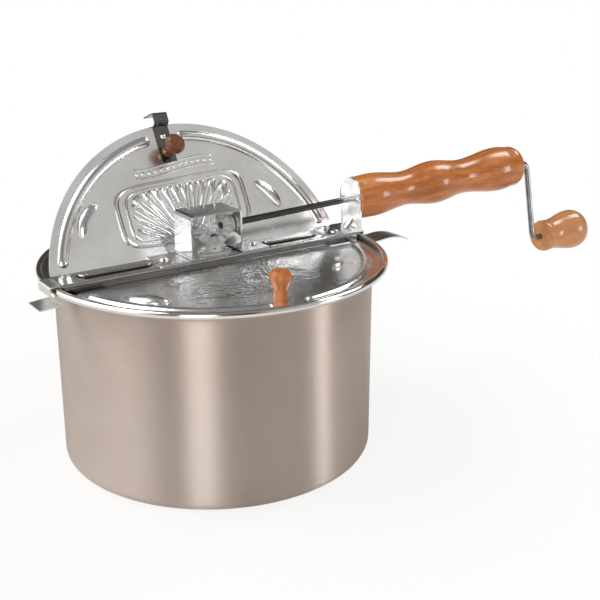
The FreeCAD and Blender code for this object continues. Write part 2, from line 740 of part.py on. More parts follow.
def make_lid(name, front):
    """A pressed half lid with its hinge curl, broken bead and two vents.

    Drawn closed, round the pot's axis, with the hinge line at zero height.
    """
    item = body(name + "_sheet")
    top = CURL
    low = top - S.lid_sheet
    near = HINGE_OFFSET
    notch = HINGE_OFFSET + S.lid_notch
    plate = sketch_on(item, "XY_Plane", low)
    edge_x = root(LID_RADIUS * LID_RADIUS - notch * notch)
    diagonal = LID_RADIUS * cosine(45)
    end = CURL_HALF
    aside = lid_shift(front)
    Outline(plate, [
        corner(-end, near),
        corner(end, near),
        corner(end, notch),
        corner(edge_x, notch),
        arc_to(LID_RADIUS),
        corner(diagonal, diagonal),
        arc_to(LID_RADIUS),
        corner(0, LID_RADIUS),
        arc_to(LID_RADIUS),
        corner(-diagonal, diagonal),
        arc_to(LID_RADIUS),
        corner(-edge_x, notch),
        corner(-end, notch),
    ])
    pad(item, plate, S.lid_sheet)
    # The sheet curls round the pin from above, past the bar side and back.
    curl = sketch_on(item, "YZ_Plane")
    lap = S.lid_notch
    tip = 345
    Outline(curl, [
        corner(near + lap, low),
        corner(near + lap, top),
        corner(near, top),
        arc_to(CURL),
        corner(near - CURL, 0),
        arc_to(CURL),
        corner(near, -CURL),
        arc_to(CURL),
        corner(near + CURL * cosine(tip), CURL * sine(tip)),
        corner(near + BORE * cosine(tip), BORE * sine(tip)),
        arc_to(BORE, False),
        corner(near, -BORE),
        arc_to(BORE, False),
        corner(near - BORE, 0),
        arc_to(BORE, False),
        corner(near, low),
    ])
    pad(item, curl, 2 * end, both=True)
    # The bead is part of a ring with round ends, hollow from below.
    half = S.bead_half_width
    rise = S.bead_height
    outer = (half * half + rise * rise) / (2 * rise)
    depth = top + rise - outer
    middle = LID_RADIUS - S.bead_offset
    outside = []
    inside = []
    for side in (1, -1):
        start = S.bead_start_angle
        stop = arccosine((S.bead_gap + side * aside) / middle)
        turn = start if side > 0 else 180 - stop
        for group, radius in ((outside, outer), (inside, outer - S.lid_sheet)):
            ring = DOC.addObject("Part::Torus", name + "_bead")
            ring.setExpression("Radius1", middle.text)
            ring.setExpression("Radius2", radius.text)
            ring.setExpression("Angle3", (stop - start).text)
            ring.Placement = Placement(Vector(0, 0, float(depth)),
                                       Rotation(Vector(0, 0, 1), float(turn)))
            group.append(ring)
            for angle in (start, stop):
                ball = DOC.addObject("Part::Sphere", name + "_bead_end")
                ball.setExpression("Radius", radius.text)
                place = (side * middle * cosine(angle), middle * sine(angle), depth)
                ball.Placement = shift(*place)
                group.append(ball)
    # Each vent is half an egg-shaped hood, open on its inner long side.
    hoods = []
    for side in (-1, 1):
        for thin, group in ((0, hoods), (S.lid_sheet, inside)):
            egg = DOC.addObject("Part::Ellipsoid", name + "_vent")
            egg.setExpression("Radius1", (S.vent_height - thin).text)
            egg.setExpression("Radius2", (S.vent_half_length - thin).text)
            egg.setExpression("Radius3", (S.vent_depth - thin).text)
            egg.Placement = vent_place(side, aside, top)
            block = DOC.addObject("Part::Box", name + "_vent_side")
            block.setExpression("Length", (2 * S.vent_half_length).text)
            block.setExpression("Width", (2 * S.vent_depth).text)
            block.setExpression("Height", (2 * S.vent_height).text)
            base = vent_place(side, aside, top)
            block.Placement = base.multiply(shift(-S.vent_half_length, 0, -S.vent_height))
            hood = DOC.addObject("Part::Common", name + "_hood")
            hood.Base = egg
            hood.Tool = block
            group.append(hood)
    raised = DOC.addObject("Part::MultiFuse", name + "_raised")
    raised.Shapes = outside + hoods
    above = cylinder(name + "_above", LID_RADIUS, S.vent_height + S.lid_sheet, shift(0, 0, low))
    shown = DOC.addObject("Part::Common", name + "_shown")
    shown.Base = raised
    shown.Tool = above
    pressed = joined(name + "_pressed", [item, shown])
    holes = [cylinder(name + "_screw_hole", S.lid_screw_radius, 2 * CURL + S.lid_sheet,
                      shift(aside, KNOB_OFFSET, -CURL))]
    if not front:
        holes.append(cylinder(name + "_rivet_hole", S.small_rivet_radius,
                              2 * CURL + S.lid_sheet, shift(aside, catch_rivet(), -CURL)))
    made = cut(name, pressed, inside + holes)
    made.Placement = lid_place(front)
    return made


def lid_shift(front):
    """Where a lid's knob is along X before the lid is placed."""
    return S.lid_shift if front else -S.lid_shift


def vent_place(side, aside, level):
    """Where a vent's hood opens: its X runs along the rim, its Y outwards."""
    angle = S.vent_angle
    middle = LID_RADIUS - S.vent_offset
    along = side * middle * cosine(angle) + aside
    place = Vector(float(along), float(middle * sine(angle)), float(level))
    turn = -float(90 - angle) if side > 0 else float(90 - angle)
    return Placement(place, Rotation(Vector(0, 0, 1), turn))


def lid_place(front):
    """Places a lid, or a piece on it, from the pot's axis at hinge height."""
    hinge = Vector(0, float(HINGE_OFFSET), 0)
    opening = Rotation(Vector(1, 0, 0), 0 if front else float(S.back_lid_angle))
    about = Placement(hinge, opening).multiply(Placement(hinge * -1, Rotation()))
    turn = Rotation(Vector(0, 0, 1), 180 if front else 0)
    level = Vector(0, 0, float(HINGE_LEVEL))
    return Placement(level, turn).multiply(about)


def make_lid_knob(name, front):
    """A turned wooden knob, with a blind hole for its screw."""
    seat = CURL if front else CURL + S.catch_sheet
    high = S.lid_knob_height
    wide = S.lid_knob_radius
    neck = S.lid_knob_neck
    steps = [
        corner(S.lid_screw_radius, 0),
        corner(S.lid_knob_foot, 0),
        corner(neck, S.lid_knob_foot_height),
        corner(neck, S.lid_knob_neck_height, wide / 2),
        corner(wide * 0.96, S.lid_knob_swell_height, wide / 2),
        corner(wide, S.lid_knob_widest_height, wide / 5),
        corner(S.lid_knob_top, high),
        corner(0, high),
        corner(0, S.lid_screw_length),
        corner(S.lid_screw_radius, S.lid_screw_length),
    ]
    place = lid_place(front).multiply(shift(lid_shift(front), KNOB_OFFSET, seat))
    return spun(name, steps, place)


def make_lid_screw(name, front):
    """The pan-headed screw from under the lid into the knob."""
    under = S.lid_sheet if front else S.lid_sheet + S.catch_sheet
    head = S.lid_screw_head_height
    steps = [
        corner(0, -under - head),
        corner(S.lid_screw_head_radius - head / 3, -under - head),
        corner(S.lid_screw_head_radius, -under - head / 2),
        corner(S.lid_screw_head_radius, -under),
        corner(S.lid_screw_radius, -under),
        corner(S.lid_screw_radius, S.lid_screw_length),
        corner(0, S.lid_screw_length),
    ]
    seat = CURL if front else CURL + S.catch_sheet
    place = lid_place(front).multiply(shift(lid_shift(front), KNOB_OFFSET, seat))
    return spun(name, steps, place)


def make_hinge_pin(name, side):
    """A hinge pin through the knuckles, with a peened head on each end."""
    end = KNUCKLE_END + S.running_gap
    half = PIN_END
    steps = [
        corner(0, -half),
        corner(S.pin_head_radius * 0.8, -half),
        corner(S.pin_head_radius, -end),
        corner(S.pin_radius, -end),
        corner(S.pin_radius, end),
        corner(S.pin_head_radius, end),
        corner(S.pin_head_radius * 0.8, half),
        corner(0, half),
    ]
    place = Placement(Vector(0, float(side * HINGE_OFFSET), float(HINGE_LEVEL)), ALONG_X)
    return spun(name, steps, place)


def make_back_catch():
    """The strip under the back knob that steps over the rim and hangs down.

    Its edge is drawn in the YZ plane of the closed lid.
    """
    sheet = S.catch_sheet
    inner = KNOB_OFFSET - S.catch_tail
    low = CURL
    over = S.rim_top + S.clip_gap - HINGE_LEVEL
    leg = RIM_RADIUS + S.catch_reach
    spread = leg + S.catch_flare
    foot = over - S.catch_drop
    rise = LID_RADIUS - sheet
    item = strip("back_catch_strip", [
        corner(inner, low),
        corner(rise, low, sheet * 1.5),
        corner(rise + (over - low) / 2, over, sheet * 0.6),
        corner(leg, over, sheet * 0.5),
        corner(spread, foot),
        corner(spread + sheet, foot),
        corner(leg + sheet, over + sheet, sheet * 1.5),
        corner(rise + (over - low) / 2 - sheet * 0.6, over + sheet, sheet * 1.6),
        corner(rise - sheet * 0.6, low + sheet, sheet * 0.5),
        corner(inner, low + sheet),
    ], S.catch_width, "YZ_Plane")
    holes = []
    for y, radius in ((KNOB_OFFSET, S.lid_screw_radius), (catch_rivet(), S.small_rivet_radius)):
        holes.append(cylinder("catch_hole", radius, 3 * sheet, shift(0, y, low - sheet)))
    made = cut("back_catch", item, holes)
    made.Placement = lid_place(False).multiply(shift(lid_shift(False)))
    return made


def catch_rivet():
    """Where the catch's rivet goes through the back lid, inside the ledge."""
    reach = POT_INSIDE - S.small_head_radius - S.side_gap
    return root(reach * reach - S.lid_shift * S.lid_shift)


def make_catch_rivet():
    """The rivet that holds the catch to the back lid beside its knob."""
    steps = rivet_steps(S.small_rivet_radius, S.small_head_radius, S.small_head_height,
                        S.catch_sheet + S.lid_sheet)
    place = lid_place(False).multiply(shift(lid_shift(False), catch_rivet(), CURL + S.catch_sheet))
    return spun("back_catch_rivet", steps, place)


def rivet_steps(radius, head, high, grip):
    """A rivet's half profile: a domed head, the shank and a flat upset end."""
    low = high * 0.6
    return [
        corner(0, -grip - low),
        corner(head * 0.8, -grip - low),
        corner(head * 0.8, -grip),
        corner(radius, -grip),
        corner(radius, 0),
        corner(head, 0),
        arc_to((head * head + high * high) / (2 * high)),
        corner(0, high),
    ]


def rivets(name, places, small=False):
    """One node of several rivets: each place has x, y, its seat and its grip."""
    radius = S.small_rivet_radius if small else S.rivet_radius
    head = S.small_head_radius if small else S.rivet_head_radius
    high = S.small_head_height if small else S.rivet_head_height
    made = []
    for index, (x, y, seat, grip) in enumerate(places):
        steps = rivet_steps(radius, head, high, grip)
        made.append(spun("%s_%d" % (name, index + 1), steps, shift(x, y, seat)))
    if len(made) == 1:
        made[0].Label = name
        return made[0]
    return joined(name, made)


def make_left_rivet():
    """The flush rivet that holds the left clip's leaf under the crossbar."""
    grip = S.bar_sheet + S.clip_sheet
    head = S.rivet_head_radius * 0.8
    low = S.rivet_head_height * 0.6
    steps = [
        corner(0, -grip - low),
        corner(head, -grip - low),
        corner(head, -grip),
        corner(S.rivet_radius, -grip),
        corner(S.rivet_radius, -S.flush_head_depth),
        corner(S.flush_head_radius, -S.flush_head_depth),
        corner(S.flush_head_radius, 0),
        corner(0, 0),
    ]
    return spun("left_clip_rivet", steps, shift(LEFT_RIVET, 0, BAR_TOP))


def make_clip_leaf(name, side):
    """The fixed leaf of a clip: under the bar, up over the rolled rim."""
    sheet = S.clip_sheet
    low = BAR_UNDER - sheet
    over = S.rim_top + S.clip_gap
    start = BAR_HALF - S.clip_tail
    rise = BAR_HALF + 0.2 * sheet
    item = strip(name + "_strip", [
        corner(side * start, low),
        corner(side * (rise + sheet), low, sheet),
        corner(side * (rise + 2 * sheet), over, sheet * 0.5),
        corner(side * flex_line(), over),
        corner(side * flex_line(), over + sheet),
        corner(side * (rise + sheet), over + sheet, sheet),
        corner(side * rise, low + sheet, sheet * 0.3),
        corner(side * start, low + sheet),
    ], S.clip_width)
    if side < 0:
        spots = ((LEFT_RIVET, 0),)
    else:
        spots = ((HANDLE_RIVET, -S.handle_rivet_spacing / 2),
                 (HANDLE_RIVET, S.handle_rivet_spacing / 2))
    holes = []
    for x, y in spots:
        place = shift(x, y, low - sheet)
        holes.append(cylinder(name + "_hole", S.rivet_radius, 3 * sheet, place))
    return cut(name, item, holes)


def flex_line():
    """Where a clip bends as it is pulled out, above the rim's outer side."""
    return RIM_RADIUS - S.rim_roll_radius + S.clip_gap


def make_clip_lever(name, side):
    """The moving part of a clip: its leg, the hook under the rim and its tab."""
    sheet = S.clip_sheet
    over = S.rim_top + S.clip_gap
    start = flex_line() + S.seat_gap
    leg = RIM_RADIUS + S.clip_reach
    low = over - S.clip_leg
    crease = leg - S.clip_hook_depth
    deep = over - S.clip_hook_drop
    if side < 0:
        tail = [
            corner(side * (crease + S.left_tab_length), deep - S.left_tab_drop),
            corner(side * (crease + S.left_tab_length), deep - S.left_tab_drop - sheet),
        ]
        back = []
    else:
        crest = crease + S.right_tab_rise
        high = deep + S.right_tab_crest
        tail = [
            corner(crest, high, S.right_tab_rise),
            corner(crease + S.right_tab_length, deep - S.right_tab_drop),
            corner(crease + S.right_tab_length - sheet / 2, deep - S.right_tab_drop - sheet),
        ]
        back = [corner(crest, high - sheet, S.right_tab_rise)]
    steps = [
        corner(side * start, over + sheet),
        corner(side * (leg + sheet), over + sheet, sheet * 1.5),
        corner(side * (leg + sheet), low - sheet * 0.45, sheet),
        corner(side * (crease + sheet * 1.6), deep, sheet * 0.5),
    ] + tail + back + [
        corner(side * crease, deep - sheet, sheet * 1.2),
        corner(side * leg, low, sheet),
        corner(side * leg, over, sheet * 0.5),
        corner(side * start, over),
    ]
    item = strip(name, steps, S.clip_width)
    return item


def make_gear_bracket():
    """The bent strip that stands over the gears and carries the rod."""
    sheet = S.bracket_sheet
    bend = S.bracket_bend
    inner = bend - sheet
    top = S.axis_level + S.bracket_rise
    left = -S.bracket_left
    right = BRACKET_RIGHT
    low = BAR_TOP
    item = strip("gear_bracket_strip", [
        corner(left - S.left_foot, low),
        corner(left + sheet, low, bend),
        corner(left + sheet, top - sheet, inner),
        corner(right - sheet, top - sheet, inner),
        corner(right - sheet, low, bend),
        corner(right + S.right_foot, low),
        corner(right + S.right_foot, low + sheet),
        corner(right, low + sheet, inner),
        corner(right, top, bend),
        corner(left, top, bend),
        corner(left, low + sheet, inner),
        corner(left - S.left_foot, low + sheet),
    ], S.bar_width)
    holes = [
        cylinder("bracket_hole", S.rivet_radius, 3 * sheet,
                 shift(-S.left_bracket_rivet, 0, low - sheet)),
        cylinder("bracket_hole", S.rivet_radius, 3 * sheet,
                 shift(S.right_bracket_rivet, 0, low - sheet)),
    ]
    start = S.drive_hub_end
    place = ROD_LINE.multiply(Placement(Vector(float(start), 0, 0), ALONG_X))
    holes.append(cylinder("bracket_bearing", SHAFT_BORE, 4 * sheet, place))
    return cut("gear_bracket", item, holes)


def make_handle_bracket():
    """The angle that carries the handle: foot, upright plate and gusset."""
    sheet = S.bracket_sheet
    tilt = S.rod_tilt
    rise = S.axis_level
    low = BAR_TOP
    # A point of the plate from its distances along the rod and up from it.
    def across(along, up):
        return along * cosine(tilt) - up * sine(tilt)

    def height(along, up):
        return rise + along * sine(tilt) + up * cosine(tilt)

    def on_plate(along, level):
        return (along - (level - rise) * sine(tilt)) / cosine(tilt)

    right = HANDLE_START
    left = right - sheet
    up = S.handle_plate_rise
    foot = right - S.handle_foot
    item = body("handle_bracket_strip")
    edge = sketch_on(item, "XZ_Plane")
    Outline(edge, [
        corner(foot, low),
        corner(on_plate(right, low), low, sheet * 2),
        corner(across(right, up), height(right, up)),
        corner(across(left, up), height(left, up)),
        corner(on_plate(left, low + sheet), low + sheet, sheet),
        corner(foot, low + sheet),
    ])
    upright = pad(item, edge, S.bar_width, both=True)
    peak = height(right, up).value
    near = (S.bar_width / 2).value
    round_edges(item, upright, S.bar_width / 2 - 0.05,
                lambda line: line.CenterOfMass.z > peak - 1
                and abs(abs(line.CenterOfMass.y) - near) < 0.01
                and line.Length < 2 * sheet.value)
    gusset = sketch_on(item, "XZ_Plane")
    inside = on_plate(left, low + sheet)
    Outline(gusset, [
        corner(inside - 6 * sheet, low + sheet / 2),
        corner(inside + sheet / 2, low + sheet / 2),
        corner(on_plate(left, low + 7 * sheet) + sheet / 2, low + 7 * sheet),
    ])
    ridge = pad(item, gusset, 5 * sheet, both=True)
    DOC.recompute()
    slope = inside.value - 3 * sheet.value
    round_edges(item, ridge, 2 * sheet,
                lambda line: abs(abs(line.CenterOfMass.y) - 2.5 * sheet.value) < 0.01
                and abs(line.CenterOfMass.x - slope) < 1.5 * sheet.value
                and line.CenterOfMass.z > low.value + 2 * sheet.value
                and line.Length > 5 * sheet.value)
    holes = []
    for side in (-1, 1):
        place = shift(HANDLE_RIVET, side * S.handle_rivet_spacing / 2, low - sheet)
        holes.append(cylinder("handle_bracket_hole", S.rivet_radius, 3 * sheet, place))
        spot = Vector(float(left - sheet), float(side * S.handle_screw_spacing / 2), 0)
        place = ROD_LINE.multiply(Placement(spot, ALONG_X))
        holes.append(cylinder("handle_bracket_hole", S.handle_screw_radius, 3 * sheet, place))
    place = ROD_LINE.multiply(Placement(Vector(float(left - sheet), 0, 0), ALONG_X))
    holes.append(cylinder("handle_bracket_bearing", SHAFT_BORE, 3 * sheet, place))
    return cut("handle_bracket", item, holes)


def turned_run(stations):
    """Points and arcs of a turned curve that runs level at each station.

    Between two stations (x, radius) are two equal arcs that meet halfway.
    """
    steps = []
    for (x, high), (next_x, next_high) in zip(stations, stations[1:]):
        along = next_x - x
        rise = next_high - high
        size = rise if rise.value > 0 else -rise
        radius = (along * along + rise * rise) / (4 * size)
        upward = rise.value > 0
        steps.append(corner(x, high))
        steps.append(arc_to(radius, upward))
        steps.append(corner(x + along / 2, high + rise / 2))
        steps.append(arc_to(radius, not upward))
    last_x, last_high = stations[-1]
    steps.append(corner(last_x, last_high))
    return steps


def make_handle_grip():
    """The turned wooden handle, bored for the rod and for its two screws."""
    length = S.handle_length
    stations = [
        (length * 0.02, S.handle_edge_radius),
        (length * 0.105, S.handle_first_swell),
        (length * 0.293, S.handle_first_neck),
        (length * 0.473, S.handle_second_swell),
        (length * 0.645, S.handle_second_neck),
        (length * 0.881, S.handle_third_swell),
        (length * 0.974, S.handle_shoulder_radius),
    ]
    face = [corner(0, S.handle_bore), corner(0, S.handle_face_radius)]
    steps = face + turned_run(stations) + [
        corner(length, S.handle_end_radius),
        corner(length, S.handle_bore),
    ]
    item = body("handle_grip_wood")
    sketch = sketch_on(item, "XZ_Plane")
    Outline(sketch, steps)
    turned(item, sketch, "Revolution", "H_Axis")
    holes = []
    for side in (-1, 1):
        spot = Vector(0, float(side * S.handle_screw_spacing / 2), 0)
        holes.append(cylinder("handle_grip_hole", S.handle_screw_radius,
                              S.handle_screw_length, Placement(spot, ALONG_X)))
    made = cut("handle_grip", item, holes)
    made.Placement = ROD_LINE.multiply(shift(HANDLE_START, 0, 0))
    return made


def make_handle_screws():
    """Two round-headed screws through the handle's bracket."""
    under = S.bracket_sheet
    head = S.handle_screw_head_height
    wide = S.handle_screw_head
    made = []
    for index, side in enumerate((-1, 1)):
        steps = [
            corner(0, -under - head),
            arc_to((wide * wide + head * head) / (2 * head)),
            corner(wide, -under),
            corner(S.handle_screw_radius, -under),
            corner(S.handle_screw_radius, S.handle_screw_length),
            corner(0, S.handle_screw_length),
        ]
        spot = Vector(float(HANDLE_START), float(side * S.handle_screw_spacing / 2), 0)
        place = ROD_LINE.multiply(Placement(spot, ALONG_X))
        made.append(spun("handle_screw_%d" % (index + 1), steps, place))
    return joined("handle_screws", made)


def make_crank_rod():
    """The bent crank wire: rod, arm and the pin for its knob."""
    item = body("crank_wire")
    start = S.rod_start
    reach = ARM_REACH
    drop = -S.arm_length
    end = reach + S.rod_radius + S.knob_gap + S.knob_bore_depth - 2 * S.rod_radius
    path = sketch_on(item, "XZ_Plane")
    bend = S.rod_bend
    OpenPath(path, [
        (start, as_size(0)),
        (reach - bend, as_size(0)),
        (reach, -bend),
        (reach, drop + bend),
        (reach + bend, drop),
        (end, drop),
    ], {1: (bend, False), 3: (bend, True)})
    ring = sketch_on(item, "YZ_Plane", start)
    circle(ring, 0, 0, S.rod_radius)
    sweep = item.newObject("PartDesign::AdditivePipe", "crank_wire_sweep")
    sweep.Profile = ring
    sweep.Spine = (path, [])
    sweep.Mode = "Frenet"
    level = Placement(Vector(float(drive_pin()), 0, 0),
                      Rotation(Vector(1, 0, 0), float(S.arm_angle)))
    across = Placement(Vector(0, float(-2 * S.rod_radius), 0), ALONG_Y)
    hole = cylinder("crank_pin_hole", S.gear_pin_radius, 4 * S.rod_radius,
                    level.multiply(across))
    made = cut("crank_rod", item, [hole])
    made.Placement = CRANK_LINE
    return made


class OpenPath:
    """An open run of lines and arcs through points that are bound to sizes."""

    def __init__(self, sketch, points, arcs):
        first = sketch.GeometryCount
        shapes = []
        ends = []
        rules = []
        texts = []
        for index in range(len(points) - 1):
            start = Vector(points[index][0].value, points[index][1].value, 0)
            finish = Vector(points[index + 1][0].value, points[index + 1][1].value, 0)
            if index in arcs:
                radius, left = arcs[index]
                made, order = arc_edge(start, finish, radius.value, left)
                shapes.append(made)
                ends.append(order)
                rules.append(Sketcher.Constraint("Radius", first + index, radius.value))
                texts.append(radius.text)
            else:
                shapes.append(Part.LineSegment(start, finish))
                ends.append((1, 2))
        for index in range(len(points)):
            number = first + min(index, len(points) - 2)
            vertex = ends[index][0] if index < len(points) - 1 else ends[-1][1]
            if 0 < index < len(points) - 1:
                rules.append(Sketcher.Constraint("Coincident", number - 1, ends[index - 1][1],
                                                 number, vertex))
                texts.append(None)
            for name, size in (("DistanceX", points[index][0]), ("DistanceY", points[index][1])):
                rules.append(Sketcher.Constraint(name, -1, 1, number, vertex, size.value))
                texts.append(size.text)
        sketch.addGeometry(shapes, False)
        base = sketch.ConstraintCount
        sketch.addConstraint(rules)
        for offset, text in enumerate(texts):
            if text is not None:
                sketch.setExpression("Constraints[%d]" % (base + offset), text)


def make_crank_knob():
    """The turned knob that spins on the crank's pin, with a blind bore."""
    length = S.knob_length
    bore = S.rod_radius + S.running_gap
    stations = [
        (length * 0.05, S.knob_edge_radius),
        (length * 0.2, S.knob_neck_radius),
        (length * 0.728, S.knob_swell_radius),
    ]
    face = [corner(0, bore), corner(0, S.knob_face_radius)]
    steps = face + turned_run(stations) + [
        arc_to(length * 0.36, False),
        corner(length * 0.93, S.knob_dome_radius),
        arc_to(length * 0.25, False),
        corner(length, 0),
        corner(S.knob_bore_depth, 0),
        corner(S.knob_bore_depth, bore),
    ]
    item = body("crank_knob")
    sketch = sketch_on(item, "XZ_Plane")
    Outline(sketch, steps)
    turned(item, sketch, "Revolution", "H_Axis")
    start = ARM_REACH + S.rod_radius + S.knob_gap
    item.Placement = CRANK_LINE.multiply(shift(start, 0, -S.arm_length))
    return item


def drive_pin():
    """The drive gear's pin, in the middle of the hub behind the teeth."""
    back = GEAR_CONE * cosine(GEAR_ANGLE) + S.gear_dedendum * sine(GEAR_ANGLE)
    return (back + S.drive_hub_end) / 2


def driven_pin():
    """The driven gear's pin, in the middle of the longer hub."""
    back = GEAR_CONE * cosine(GEAR_ANGLE) + S.gear_dedendum * sine(GEAR_ANGLE)
    return (back + DRIVEN_HUB_END) / 2


def make_gear(name, hub_end, pin, placement):
    """A bevel gear with its apex at the origin and its hub along +Z.

    Every tooth section shrinks towards the apex, so the tooth is a ruled loft
    between two levels, and the back and front cones then trim its ends.
    """
    item = body(name + "_blank")
    cone = GEAR_ANGLE
    tall = cosine(cone)
    wide = sine(cone)
    shrink = (GEAR_CONE - S.gear_face) / GEAR_CONE
    back_r = GEAR_CONE * wide - S.gear_dedendum * tall
    back_z = GEAR_CONE * tall + S.gear_dedendum * wide
    tip_r = GEAR_CONE * wide + S.gear_addendum * tall
    tip_z = GEAR_CONE * tall - S.gear_addendum * wide
    core = sketch_on(item, "XZ_Plane")
    Outline(core, [
        corner(0, back_z * shrink),
        corner(back_r * shrink, back_z * shrink),
        corner(back_r, back_z),
        corner(0, back_z),
    ])
    turned(item, core)
    # The flank is an arc from the base circle to the tip, as an involute is.
    virtual = S.gear_radius / tall
    base = virtual * cosine(S.pressure_angle)
    outer = virtual + S.gear_addendum
    full_turn = 360
    half_tooth = full_turn / 4 / S.gear_teeth - degrees(S.gear_backlash / 4 / S.gear_radius)
    growth = tangent(S.pressure_angle) - radians(S.pressure_angle)
    base_half = half_tooth + degrees(growth) / tall
    tip_tangent = root(outer * outer - base * base) / base
    tip_angle = arctangent(tip_tangent)
    tip_half = base_half - degrees(tip_tangent - radians(tip_angle)) / tall
    cone_of = {
        "low": cone - arctangent((virtual - base) / GEAR_CONE) * 1.9,
        "base": cone - arctangent((virtual - base) / GEAR_CONE),
        "tip": cone + arctangent(S.gear_addendum / GEAR_CONE),
    }
    loft = item.newObject("PartDesign::AdditiveLoft", name + "_tooth")
    sections = []
    for level in (tip_z * shrink * 0.9, back_z * 1.03):
        section = sketch_on(item, "XY_Plane", level)
        far = {key: level * tangent(angle) for key, angle in cone_of.items()}
        flank = far["tip"] * 0.9
        Outline(section, [
            corner(far["low"] * cosine(base_half), -far["low"] * sine(base_half)),
            corner(far["base"] * cosine(base_half), -far["base"] * sine(base_half)),
            arc_to(flank),
            corner(far["tip"] * cosine(tip_half), -far["tip"] * sine(tip_half)),
            arc_to(far["tip"]),
            corner(far["tip"] * cosine(tip_half), far["tip"] * sine(tip_half)),
            arc_to(flank),
            corner(far["base"] * cosine(base_half), far["base"] * sine(base_half)),
            corner(far["low"] * cosine(base_half), far["low"] * sine(base_half)),
        ])
        sections.append(section)
    loft.Profile = sections[0]
    loft.Sections = [(sections[1], [""])]
    loft.Ruled = True
    ring = item.newObject("PartDesign::PolarPattern", name + "_teeth")
    ring.Originals = [loft]
    ring.Axis = (core, ["V_Axis"])
    ring.Angle = full_turn
    ring.setExpression("Occurrences", S.gear_teeth.text)
    item.Tip = ring
    # The back cone and the front cone trim the ends of the teeth.
    over = S.gear_addendum * 3
    ends = (
        (back_r, back_z, tip_r + over * tall, tip_z - over * wide, back_z * 1.3),
        (back_r * shrink, back_z * shrink, tip_r * shrink + over * tall,
         tip_z * shrink - over * wide, as_size(-2.0)),
    )
    for inner_r, inner_z, outer_r, outer_z, beyond in ends:
        trim = sketch_on(item, "XZ_Plane")
        Outline(trim, [
            corner(0, inner_z),
            corner(inner_r, inner_z),
            corner(outer_r, outer_z),
            corner(outer_r * 1.5, beyond),
            corner(0, beyond),
        ])
        turned(item, trim, "Groove")
    hub = sketch_on(item, "XY_Plane", back_z * shrink)
    circle(hub, 0, 0, S.rod_radius * 1.2)
    pad(item, hub, hub_end - back_z * shrink)
    barrel = sketch_on(item, "XY_Plane", back_z - S.gear_dedendum / 4)
    circle(barrel, 0, 0, S.hub_radius)
    pad(item, barrel, hub_end - back_z + S.gear_dedendum / 4)
    bore = sketch_on(item, "XY_Plane")
    circle(bore, 0, 0, S.rod_radius)
    pocket(item, bore, both=True)
    hole = cylinder(name + "_pin_hole", S.gear_pin_radius, 4 * S.hub_radius,
                    Placement(Vector(0, float(-2 * S.hub_radius), float(pin)), ALONG_Y))
    made = cut(name, item, [hole])
    made.Placement = placement
    return made


def degrees(value):
    return value * (180 / math.pi)


def radians(value):
    return as_size(value) * (math.pi / 180)


def arctangent(value):
    return Size("(atan(%s) / 1deg)" % value.text, math.degrees(math.atan(value.value)))


def arccosine(value):
    return Size("(acos(%s) / 1deg)" % value.text, math.degrees(math.acos(value.value)))


def make_gear_pin(name, along, placement):
    """The drive pin through a gear's hub and its shaft."""
    half = S.hub_radius
    steps = [
        corner(0, -half),
        corner(S.gear_pin_radius, -half),
        corner(S.gear_pin_radius, half),
        corner(0, half),
    ]
    place = placement.multiply(Placement(along, ALONG_Y))
    return spun(name, steps, place)


def make_shaft():
    """The upright shaft, with a pin hole at the gear and one for the wire."""
    top = S.axis_level - S.rod_start
    low = S.pot_floor + S.shaft_end_gap
    edge = S.rod_radius / 4
    item = spun("agitator_shaft_bar", [
        corner(0, low),
        corner(S.rod_radius - edge, low),
        corner(S.rod_radius, low + edge),
        corner(S.rod_radius, top - edge),
        corner(S.rod_radius - edge, top),
        corner(0, top),
    ], NO_TURN)
    wire = Vector(float(-2 * S.rod_radius), 0, float(wire_level()))
    level = Placement(Vector(0, 0, float(S.axis_level - driven_pin())),
                      Rotation(Vector(0, 0, 1), -float(half_tooth_step())))
    across = Placement(Vector(0, float(-2 * S.rod_radius), 0), ALONG_Y)
    holes = [
        cylinder("shaft_wire_hole", S.wire_radius, 4 * S.rod_radius, Placement(wire, ALONG_X)),
        cylinder("shaft_pin_hole", S.gear_pin_radius, 4 * S.rod_radius,
                 level.multiply(across)),
    ]
    return cut("agitator_shaft", item, holes)


def half_tooth_step():
    """The driven gear's turn, so that a gap meets the drive gear's tooth."""
    return 180 / S.gear_teeth


def wire_level():
    return S.pot_floor + S.wire_floor_gap + S.wire_radius


def make_stirring_wire():
    """The S-shaped stirring wire, level over the floor with upturned ends.

    Its line is straight through the shaft, curves round in plan and turns up.
    """
    level = float(wire_level())
    straight = float(S.wire_straight)
    curve = float(S.wire_curve)
    sweep = math.radians(float(S.wire_sweep_angle))
    bend = float(S.wire_bend)

    def point(angle):
        return Vector(straight + curve * math.sin(angle), curve * (1 - math.cos(angle)), level)

    end = point(sweep)
    along = Vector(math.cos(sweep), math.sin(sweep), 0)
    up = Vector(0, 0, 1)
    aslant = bend * math.sqrt(0.5)
    middle = end + along * aslant + up * (bend - aslant)
    top = end + along * bend + up * bend
    tip = top + up * float(S.wire_upturn)
    half = [
        Part.Arc(Vector(straight, 0, level), point(sweep / 2), end).toShape(),
        Part.Arc(end, middle, top).toShape(),
        Part.LineSegment(top, tip).toShape(),
    ]
    core = Part.LineSegment(Vector(-straight, 0, level), Vector(straight, 0, level)).toShape()
    other = [edge.copy() for edge in half]
    for edge in other:
        edge.rotate(Vector(0, 0, 0), Vector(0, 0, 1), 180)
    spine = Part.Wire(Part.__sortEdges__(list(reversed(other)) + [core] + half))
    start = spine.OrderedVertexes[0].Point
    ring = Part.Wire(Part.makeCircle(float(S.wire_radius), start, Vector(0, 0, 1)))
    item = DOC.addObject("Part::Feature", "stirring_wire")
    item.Label = "stirring_wire"
    item.Shape = spine.makePipeShell([ring], True, False)
    item.Placement = NO_TURN
    return item


